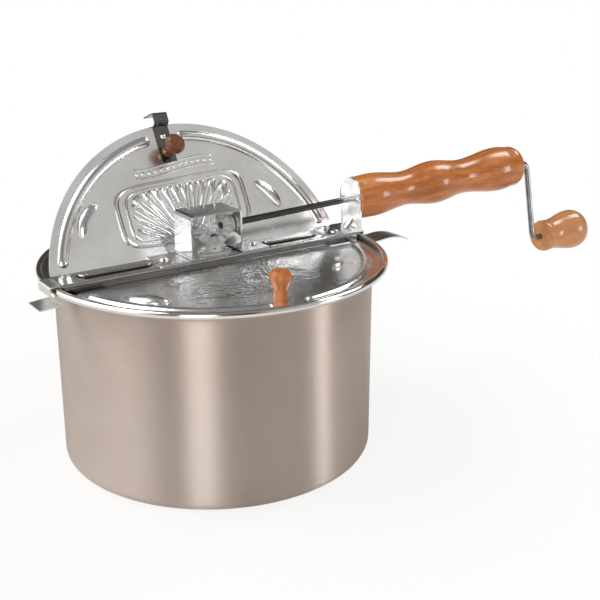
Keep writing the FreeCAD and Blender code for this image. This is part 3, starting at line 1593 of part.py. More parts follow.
def make_bushing():
    """The flanged bushing that guides the shaft through the bar."""
    item = body("shaft_bushing")
    flange = sketch_on(item, "XY_Plane", BAR_TOP)
    half = S.bushing_flange_length / 2
    slot(flange, -half, half, S.bushing_flange_width)
    pad(item, flange, S.bushing_flange)
    barrel = sketch_on(item, "XY_Plane", BAR_TOP - S.bushing_depth)
    circle(barrel, 0, 0, S.bushing_radius)
    pad(item, barrel, S.bushing_depth)
    holes = sketch_on(item, "XY_Plane")
    circle(holes, 0, 0, SHAFT_BORE)
    for side in (-1, 1):
        circle(holes, side * S.bushing_rivet, 0, S.small_rivet_radius)
    pocket(item, holes, both=True)
    return item


def make_ring():
    """The ring that keeps the shaft from lifting out of the bushing."""
    low = BAR_TOP - S.bushing_depth - S.seat_gap - S.ring_height
    steps = [
        corner(S.rod_radius, low),
        corner(S.ring_radius, low),
        corner(S.ring_radius, low + S.ring_height),
        corner(S.rod_radius, low + S.ring_height),
    ]
    return spun("shaft_retaining_ring", steps, NO_TURN)


def make_all():
    """Makes every node and returns them."""
    over_foot = BAR_TOP + S.bracket_sheet
    through = S.bracket_sheet + S.bar_sheet
    spacing = S.handle_rivet_spacing / 2
    apex_down = Placement(APEX, Rotation(Vector(1, 0, 0), 180))
    drive = ROD_LINE.multiply(Placement(Vector(), ALONG_X))
    mesh = Placement(Vector(), Rotation(Vector(0, 0, 1), float(half_tooth_step())))
    driven = apex_down.multiply(mesh)
    hub_pin = Vector(0, 0, float(drive_pin()))
    shaft_pin = Vector(0, 0, float(driven_pin()))
    return [
        make_pot(),
        make_crossbar(),
        make_gear_bracket(),
        rivets("gear_bracket_rivets", [
            (-S.left_bracket_rivet, 0, over_foot, through),
            (S.right_bracket_rivet, 0, over_foot, through),
        ]),
        make_handle_bracket(),
        rivets("handle_bracket_rivets", [
            (HANDLE_RIVET, -spacing, over_foot, through + S.clip_sheet),
            (HANDLE_RIVET, spacing, over_foot, through + S.clip_sheet),
        ]),
        make_clip_leaf("left_clip_leaf", -1),
        make_clip_leaf("right_clip_leaf", 1),
        make_left_rivet(),
        make_bushing(),
        rivets("bushing_rivets", [
            (-S.bushing_rivet, 0, BUSHING_TOP, S.bushing_flange + S.bar_sheet),
            (S.bushing_rivet, 0, BUSHING_TOP, S.bushing_flange + S.bar_sheet),
        ], small=True),
        make_hinge_pin("front_hinge_pin", -1),
        make_hinge_pin("back_hinge_pin", 1),
        make_handle_grip(),
        make_handle_screws(),
        make_crank_rod(),
        make_gear("drive_gear", S.drive_hub_end, drive_pin(), drive),
        make_gear_pin("drive_gear_pin", hub_pin, drive),
        make_crank_knob(),
        make_gear("driven_gear", DRIVEN_HUB_END, driven_pin(), driven),
        make_gear_pin("driven_gear_pin", shaft_pin, driven),
        make_shaft(),
        make_ring(),
        make_stirring_wire(),
        make_lid("front_lid", True),
        make_lid_knob("front_knob", True),
        make_lid_screw("front_knob_screw", True),
        make_lid("back_lid", False),
        make_lid_knob("back_knob", False),
        make_lid_screw("back_knob_screw", False),
        make_back_catch(),
        make_catch_rivet(),
        make_clip_lever("left_clip_lever", -1),
        make_clip_lever("right_clip_lever", 1),
    ]


def check(nodes):
    """Stops if any object failed to build or any node isn't a sound solid."""
    for item in DOC.Objects:
        for state in item.State:
            if state in ("Invalid", "Error"):
                raise RuntimeError("%s did not build" % item.Name)
    for node in nodes:
        if node.Shape.isNull() or not node.Shape.isValid():
            raise RuntimeError("%s is not a sound solid" % node.Label)


def main():
    nodes = make_all()
    DOC.recompute()
    check(nodes)
    os.makedirs("parts", exist_ok=True)
    for node in nodes:
        node.Shape.exportStep("parts/%s.step" % node.Label)
        print("%-24s %2d solids %12.2f mm3" % (node.Label, len(node.Shape.Solids),
                                               node.Shape.Volume))


main()
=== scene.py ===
import json
import math

import bmesh
import bpy
import numpy as np
from mathutils import Matrix, Vector


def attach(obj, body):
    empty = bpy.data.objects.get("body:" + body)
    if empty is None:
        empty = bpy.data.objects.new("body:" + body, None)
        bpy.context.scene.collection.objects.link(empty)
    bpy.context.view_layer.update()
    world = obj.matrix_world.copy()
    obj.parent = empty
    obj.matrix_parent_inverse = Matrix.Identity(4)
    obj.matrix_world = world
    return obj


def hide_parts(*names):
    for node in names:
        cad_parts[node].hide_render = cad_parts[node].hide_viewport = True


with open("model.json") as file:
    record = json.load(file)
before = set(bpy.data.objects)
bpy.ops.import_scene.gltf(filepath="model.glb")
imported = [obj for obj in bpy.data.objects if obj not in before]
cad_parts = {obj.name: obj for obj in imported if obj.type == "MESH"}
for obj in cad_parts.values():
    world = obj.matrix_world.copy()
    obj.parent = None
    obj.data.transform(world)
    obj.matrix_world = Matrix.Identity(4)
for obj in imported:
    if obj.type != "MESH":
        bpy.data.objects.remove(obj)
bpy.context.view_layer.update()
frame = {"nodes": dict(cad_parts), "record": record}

bl_info = {
    "name": "Popcorn Popper",
    "version": (1, 0, 0),
    "blender": (4, 5, 0),
    "location": "3D View > Sidebar > Popper",
    "description": "Dresses the packed popcorn popper in its metals, wood and nylon",
    "category": "Object",
}

MM = 0.001


def joint(name):
    """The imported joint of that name."""
    return next(item for item in frame["record"]["behaviour"]["joints"] if item["name"] == name)


def joint_place(name):
    """A point on a joint's axis, in millimetres."""
    return np.array(joint(name)["pos_m"]) / MM


HINGE_BACK = joint_place("back_lid_hinge")
HINGE_FRONT = joint_place("front_lid_hinge")
ROD_AXIS = np.array(joint("crank_turn")["axis"])
APEX = joint_place("crank_turn")
KNOB_PLACE = joint_place("knob_spin")
LID_OPEN = math.radians(-joint("back_lid_hinge")["range_deg"][0])
ROD_TILT = math.atan2(ROD_AXIS[2], ROD_AXIS[0])

# The solids' own sizes, in millimetres.
LID_TOP = 2.26  # top of a lid's sheet above its hinge's line
CATCH_SHEET = 1.0  # the catch's strip, under the back knob
POT_SHEET = 1.2
POT_FLOOR = 1.5  # the pot's floor is thicker than its wall
RIM_ROLL = 2.4  # radius of the rolled rim
LEDGE_LEVEL = 139.2  # top of the ledge that the lids close on
LEDGE_BEND = 4.7  # inside bend between the wall and the ledge
FOOT_BEND = 7.0  # outside bend between the wall and the floor
FOOT_INSET = 9.0  # from the wall to where the flat floor begins
HANDLE_BORE = 3.0
KNOB_BORE = 2.44
KNOB_BORE_DEPTH = 42.0

# Turned outlines: the share of the length, and the radius where it is level.
HANDLE_WAVES = ((0.02, 16.4), (0.105, 16.8), (0.293, 13.5), (0.473, 17.2), (0.645, 13.9),
                (0.881, 18.2), (0.974, 16.7))
KNOB_WAVES = ((0.05, 13.5), (0.2, 13.2), (0.728, 17.2))

# Painted shade in the finishes, whose places are in metres.
PAINTED_SHADE_COLOUR = (0.05, 0.046, 0.042)
BAR_RIBS = ((-0.1035, -0.0500), (0.0420, 0.0860))  # ends of the crossbar's ribs along X
RIB_HALF = 0.0045
BAR_SHOULDER = 0.1448  # level where the crossbar's top turns down into its sides
BRACKET_TOP = 0.1773  # level where the gear bracket's top face begins
WIRE_SHADE_END = 0.112  # along X, at the handle's bracket

# How fine the brushing is along X, Y and Z, per metre.
ALONG_X = (12.0, 900.0, 900.0)
ACROSS_X = (900.0, 12.0, 12.0)

# Pressed ornament.
PRESS_DEPTH = 0.6  # how far each pressed patch reaches down into the lid's sheet
PRESS_SUNK = 0.2  # how far its plain ground lies under the sheet's top
CRINKLE_SEED = 7
FAN_PATCH = (-62.0, 52.1, 27.0, 94.0, 0.42)  # left, right, near, far, step
CRINKLE_PATCH = (-68.0, 81.1, 17.0, 91.0, 0.52)

# Heading and level in degrees, distance, width and height in metres, watts.
LAMPS = (
    ("front_softbox", -131.0, 20.0, 1.6, 0.50, 1.00, 7.6),
    ("right_softbox", -45.0, 7.0, 1.6, 0.20, 0.50, 3.6),
    ("side_softbox", 0.0, 46.0, 1.5, 0.42, 0.50, 6.5),
    ("top_softbox", 150.0, 56.0, 1.5, 0.80, 0.80, 9.0),
)
LAMP_COLOUR = (0.95, 0.98, 1.0)
LAMP_TARGET = (0.03, 0.0, 0.10)

# The studio's walls over a plain one: colour, heading, half width and soft edge in degrees.
PLAIN_WALL = (0.20, 0.17, 0.145)
WALLS = (
    ((0.06, 0.055, 0.05), 61.0, 62.0, 24.0),
    ((0.06, 0.04, 0.03), -80.0, 24.0, 12.0),
    ((1.50, 1.50, 1.50), 150.0, 32.0, 24.0),
)
HIGH_WALL = ((0.62, 0.61, 0.60), -62.0, 18.0, 14.0)  # only above the others
CEILING = (0.24, 0.235, 0.23)
HORIZON = (0.45, 0.44, 0.43)
FLOOR_TINTS = ((0.86, 0.80, 0.745), (0.88, 0.825, 0.77))
FLOOR_RADIUS = 6.0
FLOOR_STEPS = 96
WHITE = (1.0, 1.0, 1.0, 1.0)


# ---- Surfaces worked out with numpy ----


def arc_corner(before, here, after, radius, steps):
    """Points of the arc that rounds a corner: it touches both sides at
    radius / tan(half the corner's angle) from the corner."""
    back = (before - here) / np.linalg.norm(before - here)
    ahead = (after - here) / np.linalg.norm(after - here)
    half = math.acos(np.clip(back @ ahead, -1.0, 1.0)) / 2
    middle = (back + ahead) / np.linalg.norm(back + ahead)
    centre = here + middle * (radius / math.sin(half))
    start = here + back * (radius / math.tan(half)) - centre
    finish = here + ahead * (radius / math.tan(half)) - centre
    turn = math.atan2(start[0] * finish[1] - start[1] * finish[0], start @ finish)
    angle = np.linspace(0.0, turn, steps)
    return centre + np.stack([np.cos(angle) * start[0] - np.sin(angle) * start[1],
                              np.sin(angle) * start[0] + np.cos(angle) * start[1]], axis=1)


def rounded_profile(corners, steps=8):
    """A profile through (radius, height, bend) corners, each bend an arc."""
    points = [np.array(corner[:2], float) for corner in corners]
    parts = []
    for index, corner in enumerate(corners):
        if len(corner) < 3 or index in (0, len(corners) - 1):
            parts.append(points[index][None, :])
            continue
        parts.append(arc_corner(points[index - 1], points[index], points[index + 1],
                                corner[2], steps))
    return np.concatenate(parts)


def level_run(stations, steps=14):
    """A turned curve that is level at each station: between two stations the
    radius follows (1 - cos(pi t)) / 2, as two equal arcs nearly do."""
    parts = []
    for (x, high), (next_x, next_high) in zip(stations, stations[1:]):
        t = np.linspace(0.0, 1.0, steps, endpoint=False)
        parts.append(np.stack([x + (next_x - x) * t,
                               high + (next_high - high) * (1 - np.cos(math.pi * t)) / 2], axis=1))
    parts.append(np.array([stations[-1]], float))
    return np.concatenate(parts)


def grid_faces(rows, columns, closed_rows, closed_columns):
    """The quads of a grid of points, whose rows or columns may close."""
    i = np.arange(rows if closed_rows else rows - 1)
    j = np.arange(columns if closed_columns else columns - 1)
    i, j = np.meshgrid(i, j, indexing="ij")
    below = (i + 1) % rows
    beside = (j + 1) % columns
    return np.stack([i * columns + j, i * columns + beside,
                     below * columns + beside, below * columns + j], axis=-1).reshape(-1, 4)


def lathe(profile, segments):
    """Point (i, j) is (r_i cos a_j, r_i sin a_j, h_i): a profile of (r, h) turned
    round the axis. A profile end on the axis becomes one pole point."""
    profile = np.asarray(profile, float)
    start_pole = profile[0, 0] < 1e-9
    end_pole = profile[-1, 0] < 1e-9
    rings = profile[1 if start_pole else 0:len(profile) - (1 if end_pole else 0)]
    angle = np.linspace(0.0, 2 * math.pi, segments, endpoint=False)
    points = np.stack([rings[:, :1] * np.cos(angle), rings[:, :1] * np.sin(angle),
                       np.repeat(rings[:, 1:], segments, axis=1)], axis=-1).reshape(-1, 3)
    closed = not (start_pole or end_pole)
    faces = grid_faces(len(rings), segments, closed, True).tolist()
    ring = np.arange(segments)
    beside = (ring + 1) % segments
    if start_pole:
        pole = len(points)
        points = np.vstack([points, [0.0, 0.0, profile[0, 1]]])
        faces += np.stack([np.full(segments, pole), beside, ring], axis=1).tolist()
    if end_pole:
        pole = len(points)
        last = (len(rings) - 1) * segments
        points = np.vstack([points, [0.0, 0.0, profile[-1, 1]]])
        faces += np.stack([np.full(segments, pole), last + ring, last + beside], axis=1).tolist()
    return points, faces


def new_piece(name, points, faces, finish, body, sharp=35.0):
    """A finished piece in metres, smooth but for edges sharper than an angle."""
    mesh = bpy.data.meshes.new(name)
    mesh.from_pydata((np.asarray(points) * MM).tolist(), [], faces)
    mesh.validate()
    mesh.update()
    piece = bpy.data.objects.new(name, mesh)
    bpy.context.scene.collection.objects.link(piece)
    face_outwards(mesh)
    mesh.polygons.foreach_set("use_smooth", np.ones(len(mesh.polygons), bool))
    mesh.set_sharp_from_angle(angle=math.radians(sharp))
    mesh.materials.append(finish)
    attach(piece, body)
    return piece


def face_outwards(mesh):
    """Turns the whole mesh round if its signed volume is negative."""
    shell = bmesh.new()
    shell.from_mesh(mesh)
    bmesh.ops.recalc_face_normals(shell, faces=shell.faces)
    if shell.calc_volume(signed=True) < 0:
        bmesh.ops.reverse_faces(shell, faces=shell.faces)
    shell.to_mesh(mesh)
    shell.free()


def placed(points, matrix):
    """Points carried from a frame of their own by its 4x4 matrix."""
    matrix = np.array(matrix)
    return np.asarray(points) @ matrix[:3, :3].T + matrix[:3, 3]


def rod_frame(along, turn=0.0, drop=0.0):
    """A frame beside the rod's line: its Z runs along the rod towards the
    handle. Its place is turned about the rod and lies a drop away from it."""
    tilt = Matrix.Rotation(-ROD_TILT, 4, "Y")
    arm = Matrix.Rotation(-turn, 4, "X")
    spot = Matrix.Translation(Vector((along, 0.0, -drop)))
    return (Matrix.Translation(Vector(APEX)) @ tilt @ arm @ spot
            @ Matrix.Rotation(math.pi / 2, 4, "Y"))


def lid_frame(front):
    """The closed lid's frame, with the pot's axis as Z at the hinge's level,
    opened about the hinge as it stands at rest."""
    hinge = HINGE_FRONT if front else HINGE_BACK
    offset = abs(hinge[1])
    opening = Matrix.Rotation(0.0 if front else LID_OPEN, 4, "X")
    about = (Matrix.Translation((0.0, offset, 0.0)) @ opening
             @ Matrix.Translation((0.0, -offset, 0.0)))
    half_turn = Matrix.Rotation(math.pi if front else 0.0, 4, "Z")
    return Matrix.Translation((0.0, 0.0, hinge[2])) @ half_turn @ about


# ---- Finishes ----


class Value:
    """A shader's number, colour or vector, whose operators add Math nodes."""

    def __init__(self, shading, socket):
        self.shading = shading
        self.socket = socket

    def join(self, operation, other, swapped=False):
        pair = [self, other]
        if swapped:
            pair.reverse()
        return self.shading.node("ShaderNodeMath", {"operation": operation},
                                 {0: pair[0], 1: pair[1]})

    def __add__(self, other):
        return self.join("ADD", other)

    def __radd__(self, other):
        return self.join("ADD", other, True)

    def __sub__(self, other):
        return self.join("SUBTRACT", other)

    def __rsub__(self, other):
        return self.join("SUBTRACT", other, True)

    def __mul__(self, other):
        return self.join("MULTIPLY", other)

    def __rmul__(self, other):
        return self.join("MULTIPLY", other, True)

    def __truediv__(self, other):
        return self.join("DIVIDE", other)

    def __rtruediv__(self, other):
        return self.join("DIVIDE", other, True)

    def __pow__(self, other):
        return self.join("POWER", other)

    def larger(self, other):
        return self.join("MAXIMUM", other)

    def absolute(self):
        return self.join("ABSOLUTE", 0.0)

    def wave(self):
        return self.join("SINE", 0.0)

    def root(self):
        return self.join("SQRT", 0.0)

    def step(self, low, high):
        """0 below low and 1 above high, with a smooth rise between."""
        return self.shading.node("ShaderNodeMapRange", {"interpolation_type": "SMOOTHSTEP"},
                                 {"Value": self, "From Min": low, "From Max": high})


class Shading:
    """A tree of shader nodes and the one way to add to it."""

    def __init__(self, tree):
        self.tree = tree

    def node(self, kind, settings, inputs, output=0):
        """A node with its settings made first and then its sockets filled."""
        made = self.tree.nodes.new(kind)
        for key, value in settings.items():
            if key == "stops":
                self.set_stops(made.color_ramp, value)
            else:
                setattr(made, key, value)
        for key, value in inputs.items():
            if isinstance(value, Value):
                self.tree.links.new(value.socket, made.inputs[key])
            else:
                made.inputs[key].default_value = value
        return Value(self, made.outputs[output])

    @staticmethod
    def set_stops(ramp, stops):
        while len(ramp.elements) < len(stops):
            ramp.elements.new(0.5)
        for element, (place, shade) in zip(ramp.elements, stops):
            element.position = place
            element.color = (*shade, 1.0)

    def vector(self, operation, first, second):
        return self.node("ShaderNodeVectorMath", {"operation": operation}, {0: first, 1: second})

    def parts(self, vector):
        """The three numbers of a vector."""
        return [self.node("ShaderNodeSeparateXYZ", {}, {0: vector}, axis) for axis in range(3)]

    def mix(self, mask, first, second):
        """The first colour where the mask is 0 and the second where it is 1."""
        return self.node("ShaderNodeMix", {"data_type": "RGBA"},
                         {0: mask, 6: first, 7: second}, 2)

    def ramp(self, value, stops):
        return self.node("ShaderNodeValToRGB", {"stops": stops}, {"Fac": value})

    def seen_plainly(self):
        """1 for rays of the camera, of a mirror or through glass, and else 0."""
        kinds = [self.node("ShaderNodeLightPath", {}, {}, name)
                 for name in ("Is Camera Ray", "Is Glossy Ray", "Is Transmission Ray")]
        return kinds[0].larger(kinds[1]).larger(kinds[2])


class Finish(Shading):
    """One material, its Principled shader and the nodes that feed it."""

    def __init__(self, name, **constants):
        self.material = bpy.data.materials.new(name)
        self.material.use_nodes = True
        super().__init__(self.material.node_tree)
        self.shader = self.tree.nodes["Principled BSDF"]
        for key, value in constants.items():
            self.shader.inputs[key.replace("_", " ")].default_value = value

    def place(self, turn=(0.0, 0.0, 0.0), scale=(1.0, 1.0, 1.0), centre=(0.0, 0.0, 0.0)):
        """Object coordinates, moved by centre, turned and then scaled."""
        source = self.node("ShaderNodeTexCoord", {}, {}, "Object")
        moved = self.vector("SUBTRACT", source, centre)
        turned = self.node("ShaderNodeVectorRotate", {"rotation_type": "EULER_XYZ"},
                           {"Vector": moved, "Rotation": turn})
        return self.vector("MULTIPLY", turned, scale)

    def noise(self, vector, scale, detail=2.0, rough=0.5, bend=0.0):
        """Smooth noise from 0 to 1."""
        return self.node("ShaderNodeTexNoise", {}, {
            "Vector": vector, "Scale": scale, "Detail": detail,
            "Roughness": rough, "Distortion": bend})

    def bump(self, height, strength, distance):
        """A normal that follows a height."""
        return self.node("ShaderNodeBump", {}, {
            "Height": height, "Strength": strength, "Distance": distance})

    def feed(self, **values):
        """Links values into the shader's sockets and gives the material."""
        for key, value in values.items():
            self.tree.links.new(value.socket, self.shader.inputs[key.replace("_", " ")])
        return self.material


def colour(values):
    """Red, green and blue with a full alpha."""
    return (*values, 1.0)


def pot_finish(look):
    """Spun aluminium: fine rings round the wall that draw every light out into
    an upright band, a soft mottle, faint scuffs and a polished rolled rim."""
    made = Finish("spun_aluminium", Metallic=1.0, Anisotropic=0.95, Anisotropic_Rotation=0.25)
    place = made.place()
    z = made.parts(place)[2]
    fine = made.noise(made.place(scale=(9.0, 9.0, 2600.0)), 1.0, 3.0)
    broad = made.noise(made.place(scale=(4.0, 4.0, 260.0)), 1.0, 2.0)
    mottle = made.noise(place, 38.0, 4.0, 0.6)
    polished = z.step(0.1375, 0.1398)  # from the ledge up
    # in part painted reflection: the browned wall colours stand in for the warm room the wall
    # reflects
    tint = made.mix(z.step(0.01, 0.135), colour(look.wall_low), colour(look.wall_colour))
    tint = made.mix(mottle.step(0.3, 0.8) * 0.3 + fine.step(0.35, 0.75) * 0.12, tint,
                    colour(look.wall_pale))
    tint = made.mix(polished, tint, colour(look.rim_colour))
    rough = (fine - 0.5) * 0.10 + (mottle - 0.5) * 0.10 + look.wall_roughness
    rough = rough * (1.0 - polished * 0.62)
    relief = made.bump(fine * 0.6 + broad * 0.4, look.ring_depth, 0.0004)
    return made.feed(Base_Color=tint, Roughness=rough, Normal=relief)


def lid_finish(look, name, centre, turn):
    """Bright pressed aluminium sheet: a cloudy mottle, fine specks and the
    faint straight marks of the rolled sheet."""
    made = Finish(name, Metallic=1.0)
    cloud = made.noise(made.place(turn=turn, centre=centre), 26.0, 3.0, 0.55)
    speck = made.noise(made.place(turn=turn, centre=centre), 900.0, 2.0, 0.6)
    rolled = made.noise(made.place(turn=turn, centre=centre, scale=(14.0, 700.0, 14.0)), 1.0, 2.0)
    tint = made.mix(cloud.step(0.3, 0.7), colour(look.lid_shade), colour(look.lid_colour))
    rough = (cloud - 0.5) * 0.14 + (speck - 0.5) * 0.08 + look.lid_roughness
    relief = made.bump(speck * 0.7 + rolled * 0.3, 0.10, 0.0003)
    return made.feed(Base_Color=tint, Roughness=rough, Normal=relief)


def bar_painted_shade(x, y, z):
    """Painted shade on the crossbar: a dark line round both raised ribs, where their flanks
    reflect dark, and darkened sides. A rib's outline is where the distance to its middle line is
    RIB_HALF."""
    # painted shade: the sides below the shoulder are darkened
    painted_shade = (BAR_SHOULDER - z).step(-0.0004, 0.0004) * 0.55
    for left, right in BAR_RIBS:
        past = (x - (left + right) / 2).absolute() - ((right - left) / 2 - RIB_HALF)
        away = (past.larger(0.0) ** 2.0 + y ** 2.0).root() - RIB_HALF
        # painted shade: a dark line round this rib's outline
        painted_shade = painted_shade + away.step(-0.0006, 0.0) * (0.0018 - away).step(0.0, 0.0009) * 0.9
    return painted_shade


def bracket_painted_shade(x, y, z):
    """Painted shade: the gear bracket's top face is darkened, standing in for the darker light it
    reflects.
    """
    return z.step(BRACKET_TOP - 0.0005, BRACKET_TOP + 0.0005) * 0.72


def wire_painted_shade(x, y, z):
    """Painted dark reflection on the wires up to the handle: the crank wire between
    the gears and the handle, and all wires inside the pot, are darkened."""
    return (WIRE_SHADE_END - x).step(-0.004, 0.004) * 0.85


def sheet_finish(name, base, dark, roughness, grain, run=ALONG_X, spread=0.12, painted_shade=None):
    """Plated steel with a soft cloud of a darker colour. Fine brushing stretches
    as run says: grain is its depth and spread its share of the roughness. A
    painted_shade is a rule that gives the share of painted shade at a place."""
    made = Finish(name, Metallic=1.0)
    lines = made.noise(made.place(scale=run), 1.0, 3.0, 0.6)
    cloud = made.noise(made.place(), 55.0, 4.0, 0.6)
    tint = made.mix(cloud.step(0.35, 0.75), colour(base), colour(dark))
    # painted shade: the rule's share mixes in a dark colour
    if painted_shade:
        tint = made.mix(painted_shade(*made.parts(made.place())), tint, colour(PAINTED_SHADE_COLOUR))
    rough = (lines - 0.5) * spread + (cloud - 0.5) * 0.12 + roughness
    relief = made.bump(lines, grain, 0.0003)
    return made.feed(Base_Color=tint, Roughness=rough, Normal=relief)


def wood_finish(name, look, turn, centre, stain=None):
    """Stained hardwood under varnish: long soft streaks and broad clouds along
    the grain, faint growth rings round an axis beside the piece's own, short
    pores, and a clear coat. A stain is a share and the colour mixed in; the
    back knob's darker one is partly its end grain and partly painted shade."""
    made = Finish(name, Coat_Roughness=0.16, Coat_IOR=1.5, Specular_IOR_Level=0.1)
    made.shader.inputs["Coat Weight"].default_value = look.coat
    place = made.place(turn=turn, centre=centre)

    def along_grain(across, along, detail, rough=0.5, bend=0.0):
        return made.noise(made.vector("MULTIPLY", place, (across, across, along)),
                          1.0, detail, rough, bend)

    cloud = along_grain(46.0, 15.0, 4.0, 0.6, 0.5)
    drift = along_grain(30.0, 6.0, 2.0)
    x, y = made.parts(place)[:2]
    away = ((x + 0.024) ** 2.0 + (y - 0.015) ** 2.0).root()
    ring = ((away * 1150.0 + drift * 10.0).wave() + 1.0) * 0.5
    streaks = along_grain(760.0, 34.0, 3.0, 0.6)
    pores = along_grain(1900.0, 95.0, 1.0)
    tone = ring * 0.06 + streaks * 0.22 + cloud * 0.44 + 0.18
    tint = made.ramp(tone, [(0.38, look.wood_dark), (0.54, look.wood_colour),
                            (0.72, look.wood_light)])
    tint = made.mix(pores.step(0.60, 0.74) * 0.4, tint, colour(look.wood_pore))
    if stain:
        tint = made.mix(stain[0], tint, colour(stain[1]))
    rough = streaks * 0.12 + 0.30
    relief = made.bump(streaks * 0.5 + pores * 0.5, 0.05, 0.0003)
    return made.feed(Base_Color=tint, Roughness=rough, Normal=relief)


def nylon_finish(look):
    """Moulded nylon: milky, softly mottled, with a faint moulding texture."""
    made = Finish("moulded_nylon", Subsurface_Weight=0.15, Subsurface_Scale=0.002, IOR=1.53)
    place = made.place()
    cloud = made.noise(place, 120.0, 3.0, 0.6)
    speck = made.noise(place, 1500.0, 2.0)
    tint = made.mix(cloud.step(0.35, 0.7), colour(look.nylon_colour), colour(look.nylon_shade))
    rough = cloud * 0.16 + 0.34
    relief = made.bump(speck * 0.5 + cloud, 0.12, 0.0003)
    return made.feed(Base_Color=tint, Roughness=rough, Normal=relief)


# ---- Sizes and colours that a user would change ----


def tint(name, words, default):
    """A colour that a user can change."""
    return bpy.props.FloatVectorProperty(name=name, description=words, default=default,
                                         size=3, min=0.0, max=1.0, subtype="COLOR")


class PopperLook(bpy.types.PropertyGroup):
    """Colours and surfaces of the popper."""

    # The wall colours are browned and darkened past bare aluminium: partly its warm tone, partly a
    # painted warm reflection of the room.
    wall_colour: tint("Wall", "Upper wall of the pot", (0.50, 0.415, 0.360))
    wall_low: tint("Wall, low", "Foot of the pot's wall", (0.56, 0.48, 0.43))
    wall_pale: tint("Wall, pale", "Pale clouds on the wall", (0.64, 0.565, 0.52))
    rim_colour: tint("Rim", "Polished rolled rim", (0.80, 0.78, 0.76))
    wall_roughness: bpy.props.FloatProperty(
        name="Wall roughness", description="Dullness of the spun wall",
        default=0.42, min=0.0, max=1.0, subtype="FACTOR")
    ring_depth: bpy.props.FloatProperty(
        name="Ring depth", description="Strength of the spinning marks",
        default=0.25, min=0.0, max=1.0, subtype="FACTOR")
    lid_colour: tint("Lid", "Bright sheet of the lids", (0.87, 0.865, 0.855))
    lid_shade: tint("Lid, shade", "Darker clouds on the lids", (0.74, 0.73, 0.72))
    lid_roughness: bpy.props.FloatProperty(
        name="Lid roughness", description="Dullness of the lids",
        default=0.25, min=0.0, max=1.0, subtype="FACTOR")
    wood_colour: tint("Wood", "Stained wood", (0.52, 0.165, 0.038))
    wood_dark: tint("Wood, dark", "Dark grain of the wood", (0.28, 0.068, 0.013))
    wood_light: tint("Wood, light", "Light grain of the wood", (0.80, 0.350, 0.105))
    wood_pore: tint("Wood pores", "Pores of the wood", (0.26, 0.066, 0.014))
    wood_pale: tint("Wood, pale", "Paler stain of the crank knob", (0.70, 0.37, 0.17))
    # darker colour of the back knob: partly its end grain, partly painted shade
    wood_end_grain_and_shade: tint("Wood, end grain and shade", "Darker stain of the back knob", (0.085, 0.030, 0.013))
    coat: bpy.props.FloatProperty(
        name="Varnish", description="Weight of the clear varnish",
        default=0.8, min=0.0, max=1.0, subtype="FACTOR")
    nylon_colour: tint("Nylon", "Gears and bushing", (0.66, 0.66, 0.64))
    nylon_shade: tint("Nylon, shade", "Darker clouds of the nylon", (0.54, 0.54, 0.525))


def length(name, words, default, low=0.1):
    """A length that a user can change."""
    return bpy.props.FloatProperty(name=name, description=words + ", in millimetres",
                                   default=default, min=low)


class PopperSizes(bpy.types.PropertyGroup):
    """Sizes of the popper's turned pieces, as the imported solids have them."""

    rim_radius: length("Rim radius", "Outside of the rolled rim", 125.0)
    wall_radius: length("Wall radius", "Outside of the pot's wall", 113.5)
    rim_top: length("Rim height", "Top of the rolled rim", 144.2)
    segments: bpy.props.IntProperty(
        name="Segments", description="Steps round the pot", default=256, min=32)
    handle_start: length("Handle start", "From the shaft to the handle", 122.8)
    handle_length: length("Handle length", "Length of the wooden handle", 171.7)
    knob_start: length("Knob start", "From the shaft to the crank knob", 319.98)
    knob_length: length("Knob length", "Length of the crank knob", 50.5)
    arm_length: length("Arm length", "From the rod to the crank's pin", 66.5)
    arm_turn: bpy.props.FloatProperty(
        name="Arm turn", description="How far the arm is turned to the front",
        default=math.radians(10.0), subtype="ANGLE")
    lid_knob_offset: length("Lid knob", "From the hinges' middle to a lid knob", 98.0)
    lid_knob_height: length("Lid knob height", "Height of a lid knob", 19.0)
    lid_shift: length("Lid shift", "From the shaft to the lid knobs, to the left", 6.5, 0.0)
    ornament_height: length("Ornament", "Height of the back lid's pressed ornament", 0.75)
    crinkle_height: length("Crinkle", "Height of the front lid's crinkle", 0.32, 0.0)


class PopperStage(bpy.types.PropertyGroup):
    """The camera."""

    lens: bpy.props.FloatProperty(
        name="Lens", description="Focal length for a 36 mm sensor", default=62.85, min=10.0)
    camera_x: bpy.props.FloatProperty(
        name="Camera X", description="Camera's place", default=-0.3520, subtype="DISTANCE")
    camera_y: bpy.props.FloatProperty(
        name="Camera Y", description="Camera's place", default=-0.6322, subtype="DISTANCE")
    camera_z: bpy.props.FloatProperty(
        name="Camera Z", description="Camera's place", default=0.3587, subtype="DISTANCE")
    azimuth: bpy.props.FloatProperty(
        name="Azimuth", description="Heading of the view", default=math.radians(-34.0),
        subtype="ANGLE")
    elevation: bpy.props.FloatProperty(
        name="Elevation", description="Height of the view", default=math.radians(19.035),
        subtype="ANGLE")


# ---- Pieces ----


